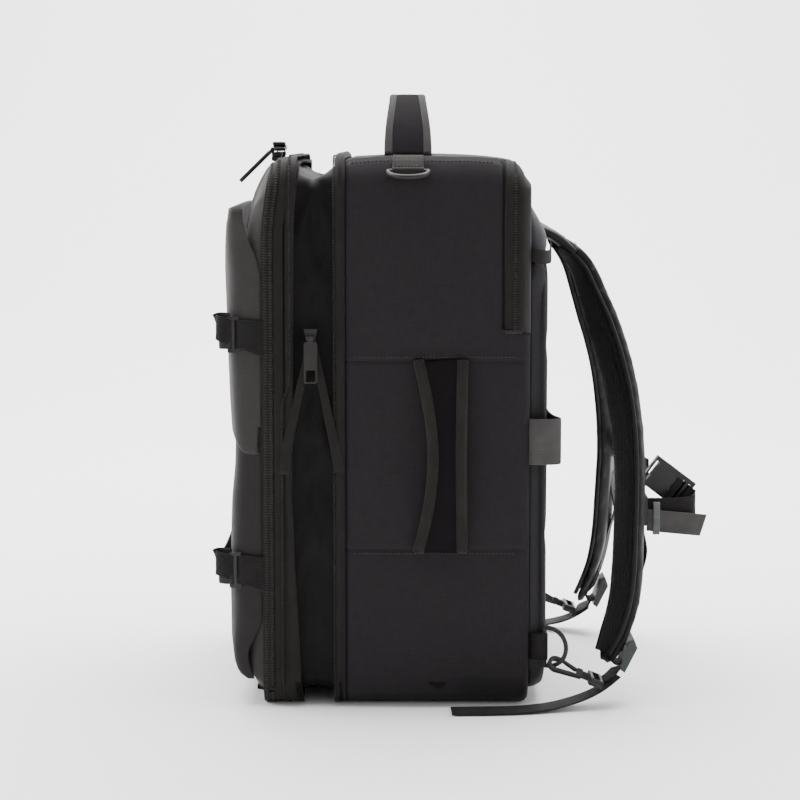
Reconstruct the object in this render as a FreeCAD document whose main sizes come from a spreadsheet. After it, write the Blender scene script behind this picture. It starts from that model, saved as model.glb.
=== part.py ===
import FreeCAD, Part
import math
import os
import Sketcher

# A cabin travel backpack standing on its base, opened to its full depth.
# Z is up, -Y is the front with its pockets, +Y the back with its shoulder straps, and +X the
# wearer's right. The origin is the middle of the base, on the floor. Lengths are millimetres.

Vector = FreeCAD.Vector
Rotation = FreeCAD.Rotation

DIMENSIONS = {
    # the case
    "BagWidth": 310,
    "BagHeight": 477,
    "CornerRadius": 26,
    "ShellWall": 4,
    "ThinWall": 2,
    "TapeProud": 1.2,
    "SlideGap": 0.4,
    # stations along the depth, from the front to the back
    "PocketFaceY": -143,
    "CoverFaceY": -125,
    "CoverZipY": -101,
    "FrameBackY": -84,
    "GussetBackY": -47,
    "MainFrontY": -39,
    "MainBackY": 94,
    "LaptopFrontY": 98,
    "BackPanelY": 121,
    "BackPadY": 136,
    # the cover's fold line
    "FoldY": -118,
    "FoldZ": 14,
    # pockets
    "PocketHalfWidth": 138,
    "PocketTopZ": 434,
    "PocketHemZ": 238,
    "PocketLowZ": 30,
    # zips
    "ZipBandWidth": 9,
    "ExpansionTapeWidth": 6,
    "LaptopZipLowZ": 331,
    "SliderLength": 11,
    "SliderWidth": 9,
    "SliderThick": 3.6,
    "PinRise": 2.3,
    "PinRadius": 0.8,
    "PinPlay": 0.3,
    "LugThick": 1.2,
    "LugRim": 0.5,
    "PullerLength": 39,
    "PullerWidth": 11.5,
    "PullerThick": 2.4,
    "PullerNeck": 5,
    "PullerEye": 1.8,
    "PullerHole": 1,
    "PullerShoulder": 3.3,
    "WindowLength": 10,
    "PullerRim": 1.6,
    "LockFrontY": -139.5,
    "LockDepth": 10,
    "LockThick": 3,
    "LockBar": 1.5,
    "LockMiddleBar": 2.6,
    # webbing
    "StrapWebbing": 25,
    "SternumWebbing": 20,
    "TrolleyWebbing": 40,
    "WebbingThick": 1.6,
    # handles
    "TopHandleHalfSpan": 132,
    "TopHandleRise": 55,
    "TopHandleThick": 7,
    "TopHandleFrontY": -4,
    "TopHandleBackY": 35,
    "SideHandleLowZ": 139,
    "SideHandleHighZ": 304,
    "SideHandleFrontY": 20,
    "SideHandleBackY": 67,
    "SideHandleRise": 18,
    "SideHandleThick": 5,
    "SideHandleWaist": 17,
    # metal rings and hooks
    "RingWire": 4,
    "RingWidth": 38,
    "RingDepth": 24,
    "TopRingX": 158.6,
    "TopRingZ": 466.5,
    "TopRingDroop": 13,
    "LowRingX": 150,
    "LowRingY": 135,
    "LowRingZ": 53,
    "LowRingSplay": 25,
    # shoulder straps
    "StrapWidth": 62,
    "StrapThick": 13,
    # sternum strap
    "BuckleLength": 25,
    "BuckleWidth": 28,
    "BuckleThick": 9,
    "BuckleX": 100,
}

# The shoulder strap's middle line, right side, from its top to its lower end: x, y, z.
STRAP_ROUTE = [
    (62, 149, 404),
    (65, 168, 390),
    (72, 182, 352),
    (84, 199, 305),
    (99, 209, 258),
    (113, 213, 203),
    (121, 211, 150),
    (127, 209, 98),
    (132, 199, 60),
    (136, 187, 36),
]

# The loose end of the right strap's webbing, from its adjuster to the floor: x, y, z.
TAIL_ROUTE = [
    (149, 199, 27),
    (151, 190, 19.5),
    (154, 176, 12),
    (159, 160, 7),
    (165, 140, 3.2),
    (171, 118, 2),
    (175, 92, 2),
    (176, 53, 2),
]

document = FreeCAD.newDocument("travel_backpack")
sheet = document.addObject("Spreadsheet::Sheet", "sizes")
pieces = []


class Size:
    """A length from the sheet, or arithmetic on such lengths, as a number and as an expression."""

    def __init__(self, number, text=None):
        self.number = number
        self.text = text or "(%r)" % number

    def combine(self, other, sign, number):
        return Size(number, "(%s %s %s)" % (self.text, sign, other.text))

    def __add__(self, other):
        other = size(other)
        return self.combine(other, "+", self.number + other.number)

    def __sub__(self, other):
        other = size(other)
        return self.combine(other, "-", self.number - other.number)

    def __mul__(self, other):
        other = size(other)
        return self.combine(other, "*", self.number * other.number)

    def __truediv__(self, other):
        other = size(other)
        return self.combine(other, "/", self.number / other.number)

    def __neg__(self):
        return self * -1

    def __radd__(self, other):
        return size(other) + self

    def __rsub__(self, other):
        return size(other) - self


def size(value):
    return value if isinstance(value, Size) else Size(value)


for row, (alias, number) in enumerate(DIMENSIONS.items(), start=1):
    sheet.set("A%d" % row, alias)
    sheet.set("B%d" % row, str(number))
    sheet.setAlias("B%d" % row, alias)
D = {alias: Size(number, "sizes.%s" % alias) for alias, number in DIMENSIONS.items()}
document.recompute()

HALF = D["BagWidth"] / 2
TOP = D["BagHeight"]
ZERO = Size(0)

PLANES = {"X": ("YZ_Plane", 1), "Y": ("XZ_Plane", -1), "Z": ("XY_Plane", 1)}


def new_body(name, kept=True):
    """A sub-part of one solid. One that is not kept goes into a group."""
    body = document.addObject("PartDesign::Body", name)
    body.Label = name
    if kept:
        pieces.append(body)
    return body


def new_sketch(body, axis, station):
    """A sketch square to an axis, at a station along it."""
    role, sign = PLANES[axis]
    plane = [part for part in body.Origin.OriginFeatures if part.Role == role][0]
    sketch = body.newObject("Sketcher::SketchObject", body.Name + "_sketch")
    sketch.AttachmentSupport = [(plane, "")]
    sketch.MapMode = "FlatFace"
    sketch.setExpression("AttachmentOffset.Base.z", (size(station) * sign).text)
    return sketch


def add_side(sketch, start, end, radius):
    """A straight side, or an arc that turns left (radius over 0) or right (under 0)."""
    if radius is None:
        return sketch.addGeometry(Part.LineSegment(start, end), False), 1, 2
    along = (end - start).normalize()
    left = Vector(-along.y, along.x, 0)
    half = start.distanceToPoint(end) / 2
    reach = math.sqrt(max(radius ** 2 - half ** 2, 0))
    centre = (start + end) / 2 + left * math.copysign(reach, radius)
    angles = [math.atan2(point.y - centre.y, point.x - centre.x) for point in (start, end)]
    if radius < 0:
        angles.reverse()
    circle = Part.Circle(centre, Vector(0, 0, 1), abs(radius))
    side = sketch.addGeometry(Part.ArcOfCircle(circle, angles[0], angles[1]), False)
    return (side, 1, 2) if radius > 0 else (side, 2, 1)


def bind(sketch, constraint, name, length):
    index = sketch.addConstraint(constraint)
    sketch.renameConstraint(index, name)
    sketch.setExpression("Constraints." + name, length.text)


def add_outline(sketch, corners):
    """A closed outline of corners (across, up), or (across, up, radius of the arc after it)."""
    corners = [tuple(map(size, corner)) for corner in corners]
    points = [Vector(corner[0].number, corner[1].number, 0) for corner in corners]
    tag = "o%d" % sketch.GeometryCount
    sides = []
    for i, corner in enumerate(corners):
        radius = corner[2].number if len(corner) > 2 else None
        sides.append(add_side(sketch, points[i], points[(i + 1) % len(points)], radius))
    for i, (side, first, last) in enumerate(sides):
        following = sides[(i + 1) % len(sides)]
        sketch.addConstraint(Sketcher.Constraint("Coincident", side, last, following[0], following[1]))
        across, up = corners[i][:2]
        bind(sketch, Sketcher.Constraint("DistanceX", -1, 1, side, first, across.number),
             "%sx%d" % (tag, i), across)
        bind(sketch, Sketcher.Constraint("DistanceY", -1, 1, side, first, up.number),
             "%sy%d" % (tag, i), up)
        if len(corners[i]) > 2:
            bind_arc(sketch, side, "%sr%d" % (tag, i), corners[i], corners[(i + 1) % len(corners)])


def bind_arc(sketch, side, name, corner, following):
    """Fixes an arc between two fixed ends: a half circle by its centre, another by its radius."""
    radius = corner[2] if corner[2].number > 0 else -corner[2]
    chord = math.hypot(*(following[i].number - corner[i].number for i in (0, 1)))
    if chord / 2 < radius.number - 1e-6:
        bind(sketch, Sketcher.Constraint("Radius", side, radius.number), name, radius)
        return
    upright = abs(following[0].number - corner[0].number) < 1e-6
    kind = "DistanceX" if upright else "DistanceY"
    middle = (corner[0] + following[0]) / 2 if upright else (corner[1] + following[1]) / 2
    bind(sketch, Sketcher.Constraint(kind, -1, 1, side, 3, middle.number), name, middle)


def rectangle(left, right, low, high):
    return [(left, low), (right, low), (right, high), (left, high)]


def rounded(left, right, low, high, radius):
    left, right, low, high = map(size, (left, right, low, high))
    return [
        (left + radius, low), (right - radius, low, radius),
        (right, low + radius), (right, high - radius, radius),
        (right - radius, high), (left + radius, high, radius),
        (left, high - radius), (left, low + radius, radius),
    ]


def circle_outline(across, up, radius):
    across, up, radius = map(size, (across, up, radius))
    return [(across - radius, up, radius), (across + radius, up, radius)]


def pad(body, axis, start, end, *outlines):
    """Adds the outlines' area from one station to a further one."""
    sketch = new_sketch(body, axis, end if axis == "Y" else start)
    for outline in outlines:
        add_outline(sketch, outline)
    feature = body.newObject("PartDesign::Pad", body.Name + "_pad")
    feature.Profile = sketch
    feature.setExpression("Length", (size(end) - start).text)
    document.recompute()
    return feature


def pocket(body, axis, start, end, *outlines):
    """Cuts the outlines' area from one station to a further one, and checks that it cut."""
    before = body.Shape.Volume
    sketch = new_sketch(body, axis, start if axis == "Y" else end)
    for outline in outlines:
        add_outline(sketch, outline)
    feature = body.newObject("PartDesign::Pocket", body.Name + "_pocket")
    feature.Profile = sketch
    feature.setExpression("Length", (size(end) - start).text)
    document.recompute()
    if body.Shape.Volume > before - 1:
        raise RuntimeError(body.Label + ": a pocket cut nothing")
    return feature


def fillet(body, radius, wanted):
    """Rounds the edges for which wanted(edge's middle, edge's direction) is true."""
    base = body.Tip
    names = []
    for i, edge in enumerate(base.Shape.Edges, start=1):
        middle = edge.valueAt((edge.FirstParameter + edge.LastParameter) / 2)
        direction = edge.tangentAt((edge.FirstParameter + edge.LastParameter) / 2)
        if wanted(middle, direction):
            names.append("Edge%d" % i)
    feature = body.newObject("PartDesign::Fillet", body.Name + "_fillet")
    feature.Base = (base, names)
    feature.setExpression("Radius", size(radius).text)
    document.recompute()
    return feature


def mirrored(source, name, kept=True):
    """The same piece on the wearer's left."""
    piece = document.addObject("Part::Mirroring", name)
    piece.Label = name
    piece.Source = source
    piece.Normal = Vector(1, 0, 0)
    if kept:
        pieces.append(piece)
    return piece


def grouped(name, members):
    """One node of several separate solids."""
    piece = document.addObject("Part::Compound", name)
    piece.Label = name
    piece.Links = members
    pieces.append(piece)
    return piece


def made(name, shape):
    """A piece whose shape is worked out from the sheet."""
    piece = document.addObject("Part::Feature", name)
    piece.Label = name
    piece.Shape = shape
    piece.Placement = FreeCAD.Placement()
    pieces.append(piece)
    return piece


def case_outline(inset):
    """The bag's front outline, drawn in by the inset."""
    inset = size(inset)
    return rounded(-HALF + inset, HALF - inset, inset, TOP - inset, D["CornerRadius"] - inset)


def ring(name, start, end, inset, wall, kept=True):
    """A band round the whole case."""
    body = new_body(name, kept)
    pad(body, "Y", start, end, case_outline(inset), case_outline(size(inset) + wall))
    return body


def cut_below(body, height, start, end):
    """Takes away what is below a height, such as a proud band's run under the base."""
    pocket(body, "Y", start, end, rectangle(-HALF - 20, HALF + 20, -20, height))


# ---------------------------------------------------------------- the case

def main_shell():
    ring("main_compartment_shell", D["MainFrontY"], D["MainBackY"], 0, D["ShellWall"])
    body = new_body("laptop_divider")
    pad(body, "Y", D["MainBackY"], D["LaptopFrontY"], case_outline(0))
    body = new_body("base_board")
    pad(body, "Z", D["ShellWall"], D["ShellWall"] + 3,
        rectangle(-HALF + 26, HALF - 26, D["MainFrontY"] + 2, D["MainBackY"] - 2))


def laptop_compartment():
    body = new_body("laptop_compartment_shell")
    pad(body, "Y", D["LaptopFrontY"], D["BackPanelY"], case_outline(0))
    pocket(body, "Y", D["LaptopFrontY"], D["BackPanelY"] - D["ThinWall"] - 2,
           case_outline(D["ThinWall"] + 5))
    # the top slopes down towards the back
    pocket(body, "X", -HALF - 5, HALF + 5,
           [(D["BackPanelY"] - 7, TOP + 5), (D["BackPanelY"] - 7, TOP - 9),
            (D["BackPanelY"], TOP - 38), (D["BackPanelY"] + 5, TOP - 38), (D["BackPanelY"] + 5, TOP + 5)])
    body = new_body("frame_sheet")
    pad(body, "Y", D["BackPanelY"] - 7, D["BackPanelY"] - 5,
        rounded(-HALF + 20, HALF - 20, 20, TOP - 50, Size(12)))
    band = ring("laptop_zip_tape", D["LaptopFrontY"] + 1, D["BackPanelY"] - 7.5,
                -D["TapeProud"], D["TapeProud"])
    cut_below(band, D["LaptopZipLowZ"], D["LaptopFrontY"], D["BackPanelY"])


def back_panel():
    body = new_body("back_pad")
    pad(body, "Y", D["BackPanelY"], D["BackPadY"], rounded(-HALF + 9, HALF - 9, 22, 397, Size(18)))
    body = new_body("yoke_cover")
    pad(body, "X", -HALF + 12, HALF - 12,
        [(D["BackPanelY"], 397), (D["BackPadY"], 397), (D["BackPadY"] + 2, 414), (D["BackPanelY"], 437)])


def trolley_sleeve():
    """A wide band across the back pad, which slips over a trolley case's handle."""
    thick = D["WebbingThick"]
    face = D["BackPadY"] + 12
    body = new_body("trolley_strap")
    pad(body, "Z", 214, D["TrolleyWebbing"] + 214, [
        (-HALF + 0.5, D["BackPanelY"] + 1), (-HALF + 1.5 + thick, D["BackPanelY"] + 1),
        (-HALF + 4 + thick, D["BackPadY"] + 1), (-HALF + 24, face),
        (HALF - 24, face), (HALF - 4 - thick, D["BackPadY"] + 1),
        (HALF - 1.5 - thick, D["BackPanelY"] + 1), (HALF - 0.5, D["BackPanelY"] + 1),
        (HALF - 3, D["BackPadY"] + 2), (HALF - 22, face + thick),
        (-HALF + 22, face + thick), (-HALF + 3, D["BackPadY"] + 2)])


def expansion():
    """The zipped-out band that makes the bag deeper."""
    band = ring("expansion_zip_rear", D["GussetBackY"], D["MainFrontY"], -D["TapeProud"], Size(4))
    cut_below(band, 0, D["GussetBackY"], D["MainFrontY"])
    ring("expansion_gusset", D["FrameBackY"] - 4, D["GussetBackY"] + 2, 4.4, 1.2)
    ends = []
    for side, name in ((-1, "front_end"), (1, "rear_end")):
        body = new_body(name, kept=False)
        ends.append(body)
        middle = Size(-68)
        pad(body, "X", HALF + D["TapeProud"] + 0.5, HALF + D["TapeProud"] + 1.5, [
            (middle + side * 1, 331), (middle + side * 7, 331),
            (middle + side * 27, 230), (middle + side * 22, 214), (middle + side * 12, 250)][::side])
    grouped("expansion_zip_ends", ends)


def front_frame():
    """The band between the cover's zip and the expansion zip."""
    zip_plane = D["CoverZipY"] + D["SlideGap"] / 2
    frame = ring("frame_band", zip_plane, D["FrameBackY"], 0, Size(3), kept=False)
    for name, start, end in (
            ("cover_zip_tape_rear", zip_plane, zip_plane + D["ZipBandWidth"]),
            ("expansion_zip_front", D["FrameBackY"] - D["ExpansionTapeWidth"], D["FrameBackY"])):
        band = ring(name, start, end, -D["TapeProud"], D["TapeProud"])
        cut_below(band, D["TapeProud"], start, end)
    body = new_body("sill", kept=False)
    front = D["FoldY"] + 4
    back = D["CoverZipY"] - D["SlideGap"] / 2
    pad(body, "Y", front, back, case_outline(0), case_outline(3))
    pocket(body, "Y", front, back, rectangle(-HALF - 5, HALF + 5, D["FoldZ"] - 0.5, TOP + 5))
    grouped("front_frame", [frame, body])


# ---------------------------------------------------------------- the front cover

def cover():
    back = D["CoverZipY"] - D["SlideGap"] / 2
    body = new_body("cover_shell")
    pad(body, "Y", D["CoverFaceY"], back, case_outline(0))
    brow = D["CornerRadius"] + 8
    pocket(body, "Y", D["CoverFaceY"] + 3, back,
           rounded(-HALF + 3, HALF - 3, 3, TOP - brow, D["CornerRadius"] - 3))
    pocket(body, "Y", D["CoverFaceY"] + 13, back,
           rounded(-HALF + 3, HALF - 3, TOP - brow * 2, TOP - 3, D["CornerRadius"] - 3))
    # the top leans back in a round brow
    pocket(body, "X", -HALF - 5, HALF + 5, [
        (D["CoverFaceY"] - 5, TOP + 5), (D["CoverFaceY"] - 5, TOP - 37),
        (D["CoverFaceY"], TOP - 37, -brow), (D["CoverZipY"] - 2, TOP), (D["CoverZipY"] - 2, TOP + 5)])
    pocket(body, "X", -HALF - 5, HALF + 5, [
        (D["CoverFaceY"] - 5, -5), (back + 5, -5), (back + 5, D["FoldZ"]), (D["FoldY"], D["FoldZ"]),
        (D["CoverFaceY"] - 5, D["FoldZ"] + 22)])
    band = ring("cover_zip_tape_front", back - D["ZipBandWidth"], back, -D["TapeProud"], D["TapeProud"])
    cut_below(band, D["FoldZ"], D["CoverFaceY"], back)
    pocket(band, "X", -HALF - 5, HALF + 5, [
        (D["CoverFaceY"], TOP + 5), (D["CoverFaceY"], TOP - 37),
        (D["CoverFaceY"] - D["TapeProud"], TOP - 37, -brow - D["TapeProud"]),
        (D["CoverZipY"] - 2, TOP + D["TapeProud"]), (D["CoverZipY"] - 2, TOP + 5)])


def front_pockets():
    half = D["PocketHalfWidth"]
    for name, low, high, bulge in (
            ("upper_front_pocket", D["PocketHemZ"], D["PocketTopZ"], Size(0)),
            ("lower_front_pocket", D["PocketLowZ"], D["PocketHemZ"] - 1, Size(1.5))):
        body = new_body(name)
        pad(body, "Y", D["PocketFaceY"] + bulge, D["CoverFaceY"], rectangle(-half, half, low, high))
        if name.startswith("upper"):
            pocket(body, "Y", D["PocketFaceY"] + D["ThinWall"], D["CoverFaceY"],
                   rectangle(-half + D["ThinWall"], half - D["ThinWall"], low + D["ThinWall"], high + 5))
        fillet(body, 6, lambda middle, direction: abs(direction.z) > 0.9
               and abs(middle.y - D["PocketFaceY"].number) < 2 and abs(middle.x) > half.number - 1)


def compression_strap(name, low, high, face):
    """A strap across the front pockets, from one side of the cover to the other."""
    thick = D["WebbingThick"]
    start = D["LockFrontY"] - 0.5
    body = new_body(name)
    pad(body, "Z", low, high, [
        (-HALF + 1, start), (-HALF + 2 + thick, start), (-HALF + 16, face + thick),
        (HALF - 16, face + thick), (HALF - 2 - thick, start), (HALF - 1, start),
        (HALF - 15, face), (-HALF + 15, face)])


def compression_straps():
    """Two straps across the front, each with a tab and a ladder lock at both sides."""
    wide = D["StrapWebbing"]
    tabs = []
    locks = []
    for level, height, face in (("upper", Size(327), Size(-147)), ("lower", Size(122), Size(-152))):
        low = height - wide / 2
        high = height + wide / 2
        tab = new_body(level + "_tab", kept=False)
        pad(tab, "X", HALF + 0.1, HALF + D["TapeProud"], [
            (-128.5, low), (-110.6, low - 4), (-110.6, high + 4), (-128.5, high)])
        lock = new_body(level + "_lock", kept=False)
        front = D["LockFrontY"]
        rear = front + D["LockDepth"]
        middle = (front + rear) / 2
        bar = D["LockBar"]
        half_bar = D["LockMiddleBar"] / 2
        inner = HALF - 1.4
        outer = inner + D["LockThick"]
        pad(lock, "X", inner, outer, rectangle(front, rear, low - 3, high + 3))
        pocket(lock, "X", inner, outer, rectangle(front + bar, middle - half_bar, low, high),
               rectangle(middle + half_bar, rear - bar, low, high))
        compression_strap("compression_strap_" + level, low, high, face)
        tabs += [tab, mirrored(tab, level + "_tab_left", kept=False)]
        locks += [lock, mirrored(lock, level + "_lock_left", kept=False)]
    grouped("compression_tabs", tabs)
    grouped("ladder_locks", locks)


# ---------------------------------------------------------------- zip sliders and pullers

def zip_slider(name, place, outline, pin_across, pin_x, pin_y):
    """A slider with two lugs and a pin for its puller.

    Its own X axis runs along the zip, Y across it and Z outwards. The pin lies along its Y axis
    where pin_across is true, and else along its X axis.
    """
    thick = D["SliderThick"]
    pin_z = thick + D["PinRise"]
    inside = D["PullerNeck"] / 2 + D["PinPlay"]
    outside = inside + D["LugThick"]
    reach = D["PinRadius"] + D["LugRim"]
    body = new_body(name)
    pad(body, "Z", ZERO, thick, outline)
    for near, far in ((inside, outside), (-outside, -inside)):
        if pin_across:
            lug = rectangle(pin_x - reach, pin_x + reach, near, far)
        else:
            lug = rectangle(near, far, pin_y - reach, pin_y + reach)
        pad(body, "Z", thick - 0.5, pin_z + D["LugRim"], lug)
    if pin_across:
        pad(body, "Y", -inside - 0.5, inside + 0.5, circle_outline(pin_x, pin_z, D["PinRadius"]))
    else:
        pad(body, "X", -inside - 0.5, inside + 0.5, circle_outline(pin_y, pin_z, D["PinRadius"]))
    body.Placement = place


def zip_puller(name, place, window=False):
    """A puller with an eye round its own Y axis, reaching along its own X axis."""
    half = D["PullerWidth"] / 2
    neck = D["PullerNeck"] / 2
    thick = D["PullerThick"] / 2
    long = D["PullerLength"]
    body = new_body(name)
    pad(body, "Y", -neck, neck, circle_outline(0, 0, D["PullerEye"]))
    pad(body, "Z", -thick, thick, rectangle(ZERO, D["PullerShoulder"] + 2, -neck, neck))
    pad(body, "Z", -thick, thick, rounded(D["PullerShoulder"], long, -half, half, Size(2)))
    pocket(body, "Y", -neck, neck, circle_outline(0, 0, D["PullerHole"]))
    if window:
        pocket(body, "Z", -thick, thick,
               rounded(long - D["WindowLength"] - D["PullerRim"], long - D["PullerRim"],
                       D["PullerRim"] - half, half - D["PullerRim"], Size(1)))
    body.Placement = place


def sliders():
    """The two sliders on the cover's zip, the parked expansion slider and the laptop zip's."""
    half_long = D["SliderLength"] / 2
    half_wide = D["SliderWidth"] / 2
    block = rounded(-half_long, half_long, -half_wide, half_wide, Size(2))
    upright = Rotation(Vector(0, 0, 1), Vector(0, -1, 0), Vector(), "XYZ")
    over_tape = TOP.number + D["TapeProud"].number + 0.4
    pin_rise = D["SliderThick"].number + D["PinRise"].number
    zip_y = D["CoverZipY"].number

    right = Vector(60, zip_y, over_tape)
    zip_slider("cover_slider_right", FreeCAD.Placement(right, Rotation()), block, False, ZERO, Size(-4))
    hang = math.radians(44)
    zip_puller("cover_puller_right", FreeCAD.Placement(
        right + Vector(0, -4, pin_rise),
        Rotation(Vector(0, -math.cos(hang), -math.sin(hang)), Vector(1, 0, 0), Vector(), "XYZ")))

    left = Vector(-8, zip_y, over_tape)
    zip_slider("cover_slider_left", FreeCAD.Placement(left, Rotation()), block, True, ZERO, ZERO)
    zip_puller("cover_puller_left", FreeCAD.Placement(
        left + Vector(0, 0, pin_rise), Rotation(Vector(0, 1, 0), -8)))

    parked = Vector(HALF.number + D["TapeProud"].number + 2, -68, 326)
    mouth = Size(3)
    zip_slider("expansion_slider", FreeCAD.Placement(parked, upright), [
        (Size(-6), -mouth), (Size(6), Size(-5.8)), (Size(6), Size(5.8)), (Size(-6), mouth)],
        True, Size(-1.5), ZERO)
    zip_puller("expansion_puller", FreeCAD.Placement(
        parked + Vector(pin_rise, 0, -1.5), Rotation(Vector(0, 0, -1), Vector(0, 1, 0), Vector(), "XYZ")),
        window=True)

    laptop = Vector(-HALF.number - D["TapeProud"].number - 0.4, D["LaptopFrontY"].number + 8,
                    D["LaptopZipLowZ"].number + 11.5)
    zip_slider("laptop_slider", FreeCAD.Placement(
        laptop, Rotation(Vector(0, 0, 1), Vector(0, 1, 0), Vector(-1, 0, 0), "XZY")), block,
        True, Size(-2), ZERO)
    zip_puller("laptop_puller", FreeCAD.Placement(
        laptop + Vector(-pin_rise, 0, -2), Rotation(Vector(0, 0, -1), Vector(0, -1, 0), Vector(), "XYZ")))


# ---------------------------------------------------------------- handles

def arch_radius(half_span, rise):
    return (half_span * half_span + rise * rise) / (rise * 2)


def top_handle():
    half = D["TopHandleHalfSpan"]
    rise = D["TopHandleRise"]
    thick = D["TopHandleThick"]
    foot = TOP + 0.6
    body = new_body("top_handle")
    pad(body, "Y", D["TopHandleFrontY"], D["TopHandleBackY"], [
        (half, foot, arch_radius(half, rise)), (-half, foot),
        (-half + 12, foot, -arch_radius(half - 12, rise - thick)), (half - 12, foot)])


def side_handle():
    low = D["SideHandleLowZ"]
    high = D["SideHandleHighZ"]
    half = (high - low) / 2
    rise = D["SideHandleRise"]
    foot = HALF + 0.5
    body = new_body("side_handle")
    pad(body, "Y", D["SideHandleFrontY"], D["SideHandleBackY"], [
        (foot, low, arch_radius(half, rise)), (foot, high),
        (foot, high - 12, -arch_radius(half - 12, rise - D["SideHandleThick"])), (foot, low + 12)])
    bite = arch_radius(half, D["SideHandleWaist"])
    front = D["SideHandleFrontY"]
    pocket(body, "X", HALF - 5, foot + rise + 5, [
        (front, low, bite), (front, high), (front - 10, high + 5), (front - 10, low - 5)])


# ---------------------------------------------------------------- D-rings and their tabs

def primitive(kind, name, place, **lengths):
    """A Part primitive with its lengths bound to the sheet."""
    item = document.addObject("Part::" + kind, name)
    item.Placement = place
    for key, length in lengths.items():
        item.setExpression(key, length.text)
    return item


def d_ring(name, place):
    """A D of round wire: its bar along the local X axis through the origin, its bow towards +Y."""
    wire = D["RingWire"] / 2
    radius = D["RingWidth"] / 2 - wire
    leg = D["RingDepth"] - wire * 2 - radius
    bow = primitive("Torus", name + "_bow", FreeCAD.Placement(Vector(0, leg.number, 0), Rotation()),
                    Radius1=radius, Radius2=wire)
    bow.Angle3 = 180
    members = [bow]
    members.append(primitive(
        "Cylinder", name + "_bar",
        FreeCAD.Placement(Vector(-radius.number, 0, 0), Rotation(Vector(0, 1, 0), 90)),
        Radius=wire, Height=radius * 2))
    for side in (-1, 1):
        corner = Vector(side * radius.number, 0, 0)
        members.append(primitive("Cylinder", name + "_leg", FreeCAD.Placement(
            corner, Rotation(Vector(1, 0, 0), -90)), Radius=wire, Height=leg))
        members.append(primitive("Sphere", name + "_corner", FreeCAD.Placement(corner, Rotation()),
                                 Radius=wire))
    fused = document.addObject("Part::MultiFuse", name)
    fused.Label = name
    fused.Shapes = members
    fused.Placement = place
    pieces.append(fused)
    return fused


def rings():
    """A ring under each end of the handle, half out on its tab, and one at each lower back corner."""
    upper = d_ring("d_ring_top_right", FreeCAD.Placement(
        Vector(D["TopRingX"].number, 15.5, D["TopRingZ"].number),
        Rotation(Vector(0, 1, 0), D["TopRingDroop"].number) * Rotation(Vector(0, 0, 1), -90)))
    mirrored(upper, "d_ring_top_left")
    lower = d_ring("d_ring_bottom_right", FreeCAD.Placement(
        Vector(D["LowRingX"].number, D["LowRingY"].number, D["LowRingZ"].number),
        Rotation(Vector(0, 0, 1), 90 - D["LowRingSplay"].number) * Rotation(Vector(1, 1, 1), -120)))
    mirrored(lower, "d_ring_bottom_left")


def ring_tabs():
    """The webbing tabs that hold the four rings, each with a bore for the ring's bar."""
    bore = D["RingWire"] / 2 + 0.5
    x = D["TopRingX"]
    z = D["TopRingZ"]
    upper = new_body("upper_ring_tab", kept=False)
    pad(upper, "Y", 1, 30, [
        (HALF + 0.2, z - 12), (HALF + 2, z - 12), (HALF + 3, z - 4.4), (x + 3.8, z - 3.8),
        (x + 3.8, z + 3.8), (HALF - 1, z + 7), (HALF - 8, TOP - 1), (HALF - 18, TOP + 2.4),
        (HALF - 18, TOP + 0.4), (HALF - 9, TOP - 4), (HALF - 3, z + 3), (HALF - 0.6, z - 4)],
        circle_outline(x, z, bore))
    x = D["LowRingX"]
    y = D["LowRingY"]
    lower = new_body("lower_ring_tab", kept=False)
    pad(lower, "Z", D["LowRingZ"] - 9, D["LowRingZ"] + 13.5, [
        (HALF - 7.5, D["BackPanelY"] + 0.5), (HALF - 1, D["BackPanelY"] + 0.5), (x + 3.6, y - 3),
        (x + 3.6, y + 3.6), (x - 3.6, y + 3.6), (x - 3.6, y - 3)],
        circle_outline(x, y, bore))
    grouped("ring_tabs", [upper, mirrored(upper, "upper_ring_tab_left", kept=False),
                          lower, mirrored(lower, "lower_ring_tab_left", kept=False)])


# ---------------------------------------------------------------- shoulder straps

def strap_frames(route):
    """Along a route, each point with the outward normal of the strap there."""
    frames = []
    for i, point in enumerate(route):
        before = Vector(*route[max(i - 1, 0)])
        after = Vector(*route[min(i + 1, len(route) - 1)])
        along = after - before
        outward = Vector(0, -along.z, along.y).normalize()
        frames.append((Vector(*point), outward))
    return frames


def ribbon(frames, width, thick, lift):
    """A flat band of the given section along a route, lifted off it along the normals."""
    sections = []
    for point, outward in frames:
        middle = point + outward * lift
        side = Vector(width / 2, 0, 0)
        up = outward * (thick / 2)
        corners = [middle - side - up, middle + side - up, middle + side + up, middle - side + up]
        sections.append(Part.makePolygon(corners + corners[:1]))
    return Part.makeLoft(sections, True, True)


def shoulder_strap():
    frames = strap_frames(STRAP_ROUTE)
    thick = D["StrapThick"].number
    pad_piece = made("strap_pad_right", ribbon(frames, D["StrapWidth"].number, thick, 0))
    mirrored(pad_piece, "strap_pad_left")


def strap_hardware():
    """The adjuster at the strap's lower end, the webbing to the hook and its loose tail."""
    wide = D["StrapWebbing"]
    webbing = D["WebbingThick"]
    body = new_body("adjuster_right")
    pad(body, "X", 137 - wide / 2 - 4, 137 + wide / 2 + 4, [
        (201, 33), (205, 30), (216, 52), (213, 60), (208, 56)])
    pocket(body, "X", 137 - wide / 2, 137 + wide / 2, [(205, 36), (208, 35), (213, 46), (210, 47)])
    mirrored(body, "adjuster_left")
    route = strap_frames([(149, 187, 22), (144, 193, 26), (139, 198.5, 31)])
    lower = made("strap_webbing_right", ribbon(route, wide.number, webbing.number, 0))
    mirrored(lower, "strap_webbing_left")
    tail = made("webbing_tail_right", ribbon(strap_frames(TAIL_ROUTE), wide.number, webbing.number, 0))
    mirrored(tail, "webbing_tail_left")


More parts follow.
